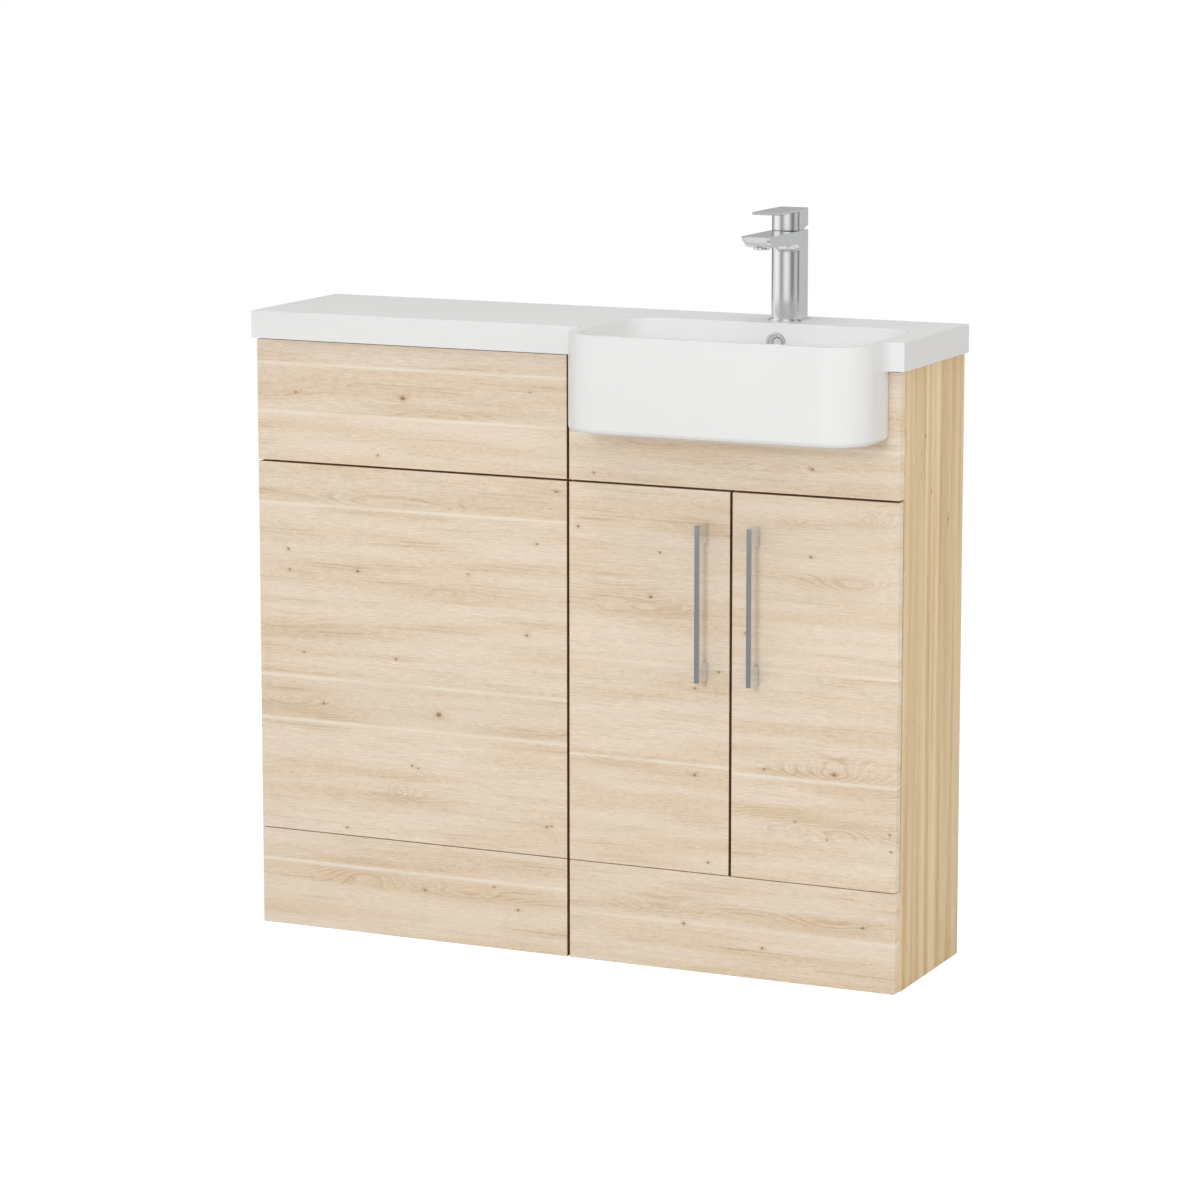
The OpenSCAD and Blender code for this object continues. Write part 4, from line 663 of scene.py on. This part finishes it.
# the aerator: radius, height above its lower edge, and depth of the notches there
AERATOR_PROFILE = [(8.4, 6.0, 0.0), (8.4, 0.2, 1.2), (8.7, 0.0, 1.2), (11.0, 0.0, 1.2),
                   (11.5, 0.6, 1.0), (11.5, 4.0, 0.0), (10.0, 4.0, 0.0), (10.0, 11.8, 0.0),
                   (8.4, 11.8, 0.0)]
AERATOR_LOW = SPOUT_LOW - 4.0
AERATOR_SIDES, NOTCH_SIDES = 96, 6
MESH_R, MESH_SIDES, MESH_LOW, MESH_HIGH = 8.45, 48, 2.0, 3.0

HUB_LOW, HUB_DROP = 1040.0, 1.6
BODY_SHARP = 34.0           # degrees from which the shaped pieces' edges count as sharp


def column_front(x, spread=0.0):
    """Y of the tap's bulged front at that place across it."""
    radius = ((TAP_W / 2) ** 2 + TAP_BULGE ** 2) / (2 * TAP_BULGE)
    return TAP_SIDE - TAP_BULGE + radius - math.sqrt((radius + spread) ** 2 - x * x)


def tap_ring(z, front, spread=0.0):
    """The tap's outline at a height. front(x) is the Y of its front there."""
    half = TAP_W / 2 + spread
    across = [half * (2 * i / FRONT_STEPS - 1) for i in range(FRONT_STEPS + 1)]
    ring = [(TAP_X - half, TAP_BACK + spread), (TAP_X + half, TAP_BACK + spread)]
    ring += [(TAP_X + x, front(x)) for x in reversed(across)]
    return [(x, y, z) for x, y in ring]


def tap_body(material):
    """Column with the spout on it. The rounding under the spout follows the bulged front,
    and the spout's tip is a little round across."""
    rings = [tap_ring(TAP_FOOT, column_front)]
    for i in range(FILLET_STEPS + 1):
        turn = math.pi / 2 * i / FILLET_STEPS
        forward = SPOUT_FILLET * (1 - math.cos(turn))
        rings.append(tap_ring(SPOUT_LOW - SPOUT_FILLET * (1 - math.sin(turn)),
                              lambda x: column_front(x) - forward))

    def tip(x, inset):
        return SPOUT_TIP + inset + SPOUT_ROUND * (abs(x) / (TAP_W / 2)) ** 4

    for i in range(TIP_STEPS + 1):
        rise = i / TIP_STEPS
        inset = SPOUT_SLANT * (1 - rise) ** 1.35
        rings.append(tap_ring(SPOUT_LOW + SPOUT_H * rise, lambda x: tip(x, inset)))
    piece = loft("tap_body_piece", rings)
    holes = [rod(TAP_X, CARTRIDGE_Y, TAP_TOP - CARTRIDGE_DEPTH, TAP_TOP + 1, CARTRIDGE_BORE),
             rod(TAP_X, AERATOR_Y, SPOUT_LOW - 1, SPOUT_LOW + AERATOR_DEPTH, AERATOR_BORE),
             rod(TAP_X, STUD_Y, BORE_LOW, STUD_TOP, STUD_BORE, SMALL_BORE_SIDES)]
    holes += [rod(TAP_X + off, TAIL_Y, BORE_LOW, TAIL_TOP, TAIL_BORE, SMALL_BORE_SIDES)
              for off in (-TAIL_OFF, TAIL_OFF)]
    finish(carve(piece, holes), "cabinet", "chrome", material, 0.7, BODY_SHARP, "tap_body")


def tap_base(material):
    """Plate under the column, with a bevelled upper edge."""
    rings = [tap_ring(z, lambda x, s=spread: column_front(x, s), spread)
             for z, spread in PLATE_PROFILE]
    low, high = PLATE_PROFILE[0][0] - 1, PLATE_PROFILE[-1][0] + 1
    piece = carve(loft("tap_base_ring_piece", rings),
                  [rod(TAP_X, CARTRIDGE_Y, low, high, PLATE_BORE)])
    finish(piece, "cabinet", "chrome", material, 0.3, BODY_SHARP, "tap_base_ring")


def tap_aerator(material):
    """Aerator with a notched lower edge and its mesh inside."""
    rings = []
    for radius, height, notch in AERATOR_PROFILE:
        ring = circle(TAP_X, AERATOR_Y, AERATOR_LOW + height, radius, AERATOR_SIDES)
        rings.append([(x, y, z + (notch if i % NOTCH_SIDES < NOTCH_SIDES / 2 else 0.0))
                      for i, (x, y, z) in enumerate(ring)])
    finish(loft("tap_aerator_piece", rings, closed=True), "cabinet", "chrome", material, 0.0,
           BODY_SHARP, "tap_aerator")
    mesh = [circle(TAP_X, AERATOR_Y, AERATOR_LOW + height, MESH_R, MESH_SIDES)
            for height in (MESH_LOW, MESH_HIGH)]
    finish(loft("tap_aerator_mesh", mesh), "cabinet", "chrome", FINISHES["aerator_mesh"], 0.1)


def tap_lever(material):
    """The lever, with the front of its hub brought nearer to the spout."""
    piece = dressed("tap_lever", "chrome", material, EDGES["chrome"])
    for vertex in piece.data.vertices:
        place = piece.matrix_world @ vertex.co
        y = place.y / MM + ORIGIN_Y
        if abs(place.z / MM - HUB_LOW) < 0.1 and y < CARTRIDGE_Y:
            vertex.co.z -= HUB_DROP * MM


# ---------------------------------------------------------------- overflow and fascia

# the double ring: radius, and place along Y from the bowl's wall, from its throat and back
OVERFLOW_PROFILE = [
    (6.5, 12.9), (6.5, 6.0), (9.4, 0.7), (9.9, -0.6), (10.6, -0.9), (11.2, -0.5),
    (11.6, 0.0), (12.2, -1.2), (13.0, -1.9), (13.8, -2.0), (14.5, -1.5), (15.0, -0.6),
    (15.0, 0.0), (10.95, 0.0), (10.95, 12.9)]
OVERFLOW_Y, OVERFLOW_Z, OVERFLOW_SIDES = 147.0, 882.0, 72
ELBOW_R, ELBOW_FRONT, ELBOW_BACK = 6.4, 152.2, 153.2
ELBOW_FROM, ELBOW_SWEEP, ELBOW_STEPS = -40, 260, 40

FASCIA_LEFT, FASCIA_RIGHT, FASCIA_LOW, FASCIA_TOP, FRONT_T = 2.0, 498.0, 692.0, 868.0, 18.0
BOWL_LEFT, BOWL_RIGHT, BOWL_LOW, BOWL_CORNER = 30.0, 480.0, 774.0, 7.0
BOWL_GAP, CORNER_STEPS = 0.15, 8


def overflow_ring(material):
    """Double ring round the overflow, lying along Y, with the white back of the elbow
    behind it, which is open at its lower side."""
    rings = [[(TAP_X + r * math.cos(t), OVERFLOW_Y + y, OVERFLOW_Z + r * math.sin(t))
              for t in turns(OVERFLOW_SIDES)] for r, y in OVERFLOW_PROFILE]
    finish(loft("overflow_ring_piece", rings, closed=True), "cabinet", "chrome", material,
           0.0, 40.0, "overflow_ring")
    arc = [math.radians(ELBOW_FROM + ELBOW_SWEEP * i / ELBOW_STEPS)
           for i in range(ELBOW_STEPS + 1)]
    plate = [[(TAP_X + ELBOW_R * math.cos(t), y, OVERFLOW_Z + ELBOW_R * math.sin(t))
              for t in arc] for y in (ELBOW_FRONT, ELBOW_BACK)]
    finish(loft("overflow_back", plate), "cabinet", "cast_white", FINISHES["cast_white"], 0.0)


def fascia(material):
    """The fixed panel, close round the bowl."""
    left, right, low = BOWL_LEFT - BOWL_GAP, BOWL_RIGHT + BOWL_GAP, BOWL_LOW - BOWL_GAP
    radius = BOWL_CORNER + BOWL_GAP
    outline = [(FASCIA_LEFT, FASCIA_LOW), (FASCIA_RIGHT, FASCIA_LOW),
               (FASCIA_RIGHT, FASCIA_TOP), (right, FASCIA_TOP)]
    for x, start in ((right - radius, 0), (left + radius, -90)):
        for i in range(CORNER_STEPS + 1):
            turn = math.radians(start - 90 * i / CORNER_STEPS)
            outline.append((x + radius * math.cos(turn), low + radius + radius * math.sin(turn)))
    outline += [(left, FASCIA_TOP), (FASCIA_LEFT, FASCIA_TOP)]
    piece = loft("vanity_fascia_piece", [[(x, y, z) for x, z in outline]
                                         for y in (0.0, FRONT_T)])
    finish(piece, "cabinet", "front_wood", material, 0.3, SHARP, "vanity_fascia")


# ---------------------------------------------------------------- fine detail inside

# the nuts tightened by hand: name, axis, whether it is upright, both ends, radius
GRIPS = [
    ("trap_neck_grip", (255, 75), True, 690, 707, 27.0),
    ("trap_cup_grip", (255, 75), True, 576, 603, 33.1),
    ("trap_outlet_grip", (255, 660.5), False, 109, 125.5, 24.5),
    ("flush_nut_grip", (-250, 162), True, 519, 529, 33.0),
    ("flush_pipe_grip", (-250, 162), True, 491, 505, 31.0),
    ("fill_nut_grip", (-400, 162), True, 519, 529, 15.0),
]
RIB, RIB_SIDES = 0.9, 4             # how far a rib stands out, and the sides of its pitch
RIBS_PER_MM = 0.9                   # ribs for each millimetre of radius
GRIP_INSIDE, GRIP_OUTSIDE = 0.6, 0.05   # how far the band goes in and out of the nut's face

# screws with cross recesses: X and Z of the heads, Y of their faces, half a recess, rounding
RECESSES = {
    "handle_screws_left": ([(211, 434.5), (211, 630.5)], 18, 2.2, 0.3),
    "handle_screws_right": ([(289, 434.5), (289, 630.5)], 18, 2.2, 0.3),
    "cistern_screws": ([(-360, 786), (-140, 786)], 225, 3.4, 0.4),
}
RECESS_DEPTH = 1.0


def grip(name, axis, upright, low, high, radius):
    """Ribs for the hand round a nut."""
    def ring(reach, along, lift=0.0):
        points = []
        for i, turn in enumerate(turns(RIB_SIDES * round(radius * RIBS_PER_MM))):
            r = reach + (lift if i % RIB_SIDES in (1, 2) else 0.0)
            a, b = r * math.cos(turn), r * math.sin(turn)
            points.append((axis[0] + a, axis[1] + b, along) if upright
                          else (axis[0] + a, along, axis[1] + b))
        return points

    inner, outer = radius - GRIP_INSIDE, radius + GRIP_OUTSIDE
    rings = [ring(inner, low), ring(outer, low), ring(outer, low + RIB, RIB),
             ring(outer, high - RIB, RIB), ring(outer, high), ring(inner, high)]
    finish(loft(name, rings, closed=True), "cabinet", "white_plastic",
           FINISHES["white_plastic"], 0.0, 30.0)


def recessed(node, material):
    """A copy of a CAD node's screws with a cross recess in each head."""
    spots, face, size, edge = RECESSES[node]
    crosses = []
    for x, z in spots:
        for wide, high in ((size, size / 5), (size / 5, size)):
            corners = [(x - wide, z - high), (x + wide, z - high), (x + wide, z + high),
                       (x - wide, z + high)]
            crosses.append(loft("cross", [[(a, y, b) for a, b in corners]
                                          for y in (face - RECESS_DEPTH, face + RECESS_DEPTH)]))
    dressed(node, "steel", material, edge, piece=carve(copied(node), crosses))


SHAPED = {"tap_body": tap_body, "tap_base_ring": tap_base, "tap_aerator": tap_aerator,
          "tap_lever": tap_lever, "overflow_ring": overflow_ring, "vanity_fascia": fascia}


def dress_all():
    """Puts a finished piece in the place of every CAD node, and adds the grips."""
    slots = {p["node"]: p["material_slot"] for p in frame["record"]["subparts"]}
    for node, slot in slots.items():
        if slot == "front_wood":
            material = oak(node + "_foil", "x", "z", seed=len(node) * 0.7,
                           gap_edges=FRONTS_ENDS, **FOIL[node])
        else:
            material = FINISHES["upright_board" if node in UPRIGHT_BOARDS else slot]
        if node in SHAPED:
            SHAPED[node](material)
        elif node in RECESSES:
            recessed(node, material)
        else:
            dressed(node, slot, material, EDGES[slot])
    for nut in GRIPS:
        grip(*nut)


# ---------------------------------------------------------------- stage

# what metal reflects: how bright the studio is at each bearing, in degrees from the front
STUDIO = [(-180, 0.30), (-155, 0.37), (-130, 0.50), (-115, 0.25), (-100, 0.26), (-92, 0.45),
          (-84, 0.74), (-70, 0.86), (-55, 0.83), (-46, 0.65), (-38, 0.38), (-31, 0.30),
          (-25, 0.40), (-16, 0.62), (-7, 0.78), (4, 0.75), (11, 0.65), (17, 0.49), (22, 0.32),
          (28, 0.20), (33, 0.19), (39, 0.29), (45, 0.44), (51, 0.55), (57, 0.45), (64, 0.20),
          (80, 0.12), (100, 0.60), (125, 0.55), (155, 0.50), (180, 0.30)]
STUDIO_GAIN = 1.25
FILL = (0.575, 0.560, 0.537)        # the light from all round, a little warm

# the floor: its colour for bounced light and in metal, and the lit and glowing shares of
# what the camera sees
FLOOR_RADIUS, FLOOR_SIDES = 4.5, 96
FLOOR_TONE = (0.72, 0.72, 0.72)
FLOOR_IN_METAL = (0.27, 0.27, 0.28)
FLOOR_LIT = (0.30, 0.30, 0.30, 1.0)
FLOOR_GLOW = 0.86


def background(tree):
    """Two masks: 1 for the rays that see a white background, which are the camera's and
    those through glass, and 1 for the rays in metal."""
    path = tree.nodes.new("ShaderNodeLightPath")
    sees = [Wire(tree, path.outputs[n]) for n in ("Is Camera Ray", "Is Transmission Ray")]
    return (sees[0] + sees[1]).clamp(), Wire(tree, path.outputs["Is Glossy Ray"])


def make_world():
    world = bpy.data.worlds.new("studio")
    world.use_nodes = True
    bpy.context.scene.world = world
    tree = Tree(world.node_tree)
    seen, glossy = background(tree)
    x, y, z = tree.add("TexCoord", output=0).parts()
    turn = x.math("ARCTAN2", y * -1.0) / (2 * math.pi) + 0.5
    studio = tree.ramp(turn, *[(bearing / 360 + 0.5, shine) for bearing, shine in STUDIO])
    studio = tree.add("VectorMath", {0: studio, 3: STUDIO_GAIN}, operation="SCALE")
    level = tree.mix(glossy, FILL, studio)
    level = tree.mix(seen, level, WHITE)
    tree.feed(tree.nodes["Background"], {"Color": level, "Strength": 1.0})


def make_floor():
    bpy.ops.mesh.primitive_circle_add(vertices=FLOOR_SIDES, radius=FLOOR_RADIUS,
                                      fill_type="NGON", location=(0, 0, 0))
    floor = bpy.context.object
    floor.name = "floor"
    material = bpy.data.materials.new("floor")
    material.use_nodes = True
    tree = Tree(material.node_tree)
    out = tree.nodes["Material Output"]
    tree.nodes.remove(tree.nodes["Principled BSDF"])
    seen, glossy = background(tree)
    tone = tree.mix(glossy, FLOOR_TONE, FLOOR_IN_METAL)
    plain = tree.add("BsdfDiffuse", {"Color": tone})
    lit = tree.add("BsdfDiffuse", {"Color": FLOOR_LIT})
    glow = tree.add("Emission", {"Color": (*WHITE, 1.0), "Strength": FLOOR_GLOW})
    bright = tree.add("AddShader", {0: lit, 1: glow})
    shader = tree.add("MixShader", {0: seen, 1: plain, 2: bright})
    tree.links.new(shader.socket, out.inputs["Surface"])
    floor.data.materials.append(material)


make_camera()
make_world()
make_floor()
for lamp in LIGHTS:
    area_light(*lamp)
dress_all()

bpy.context.scene.view_settings.view_transform = "Standard"
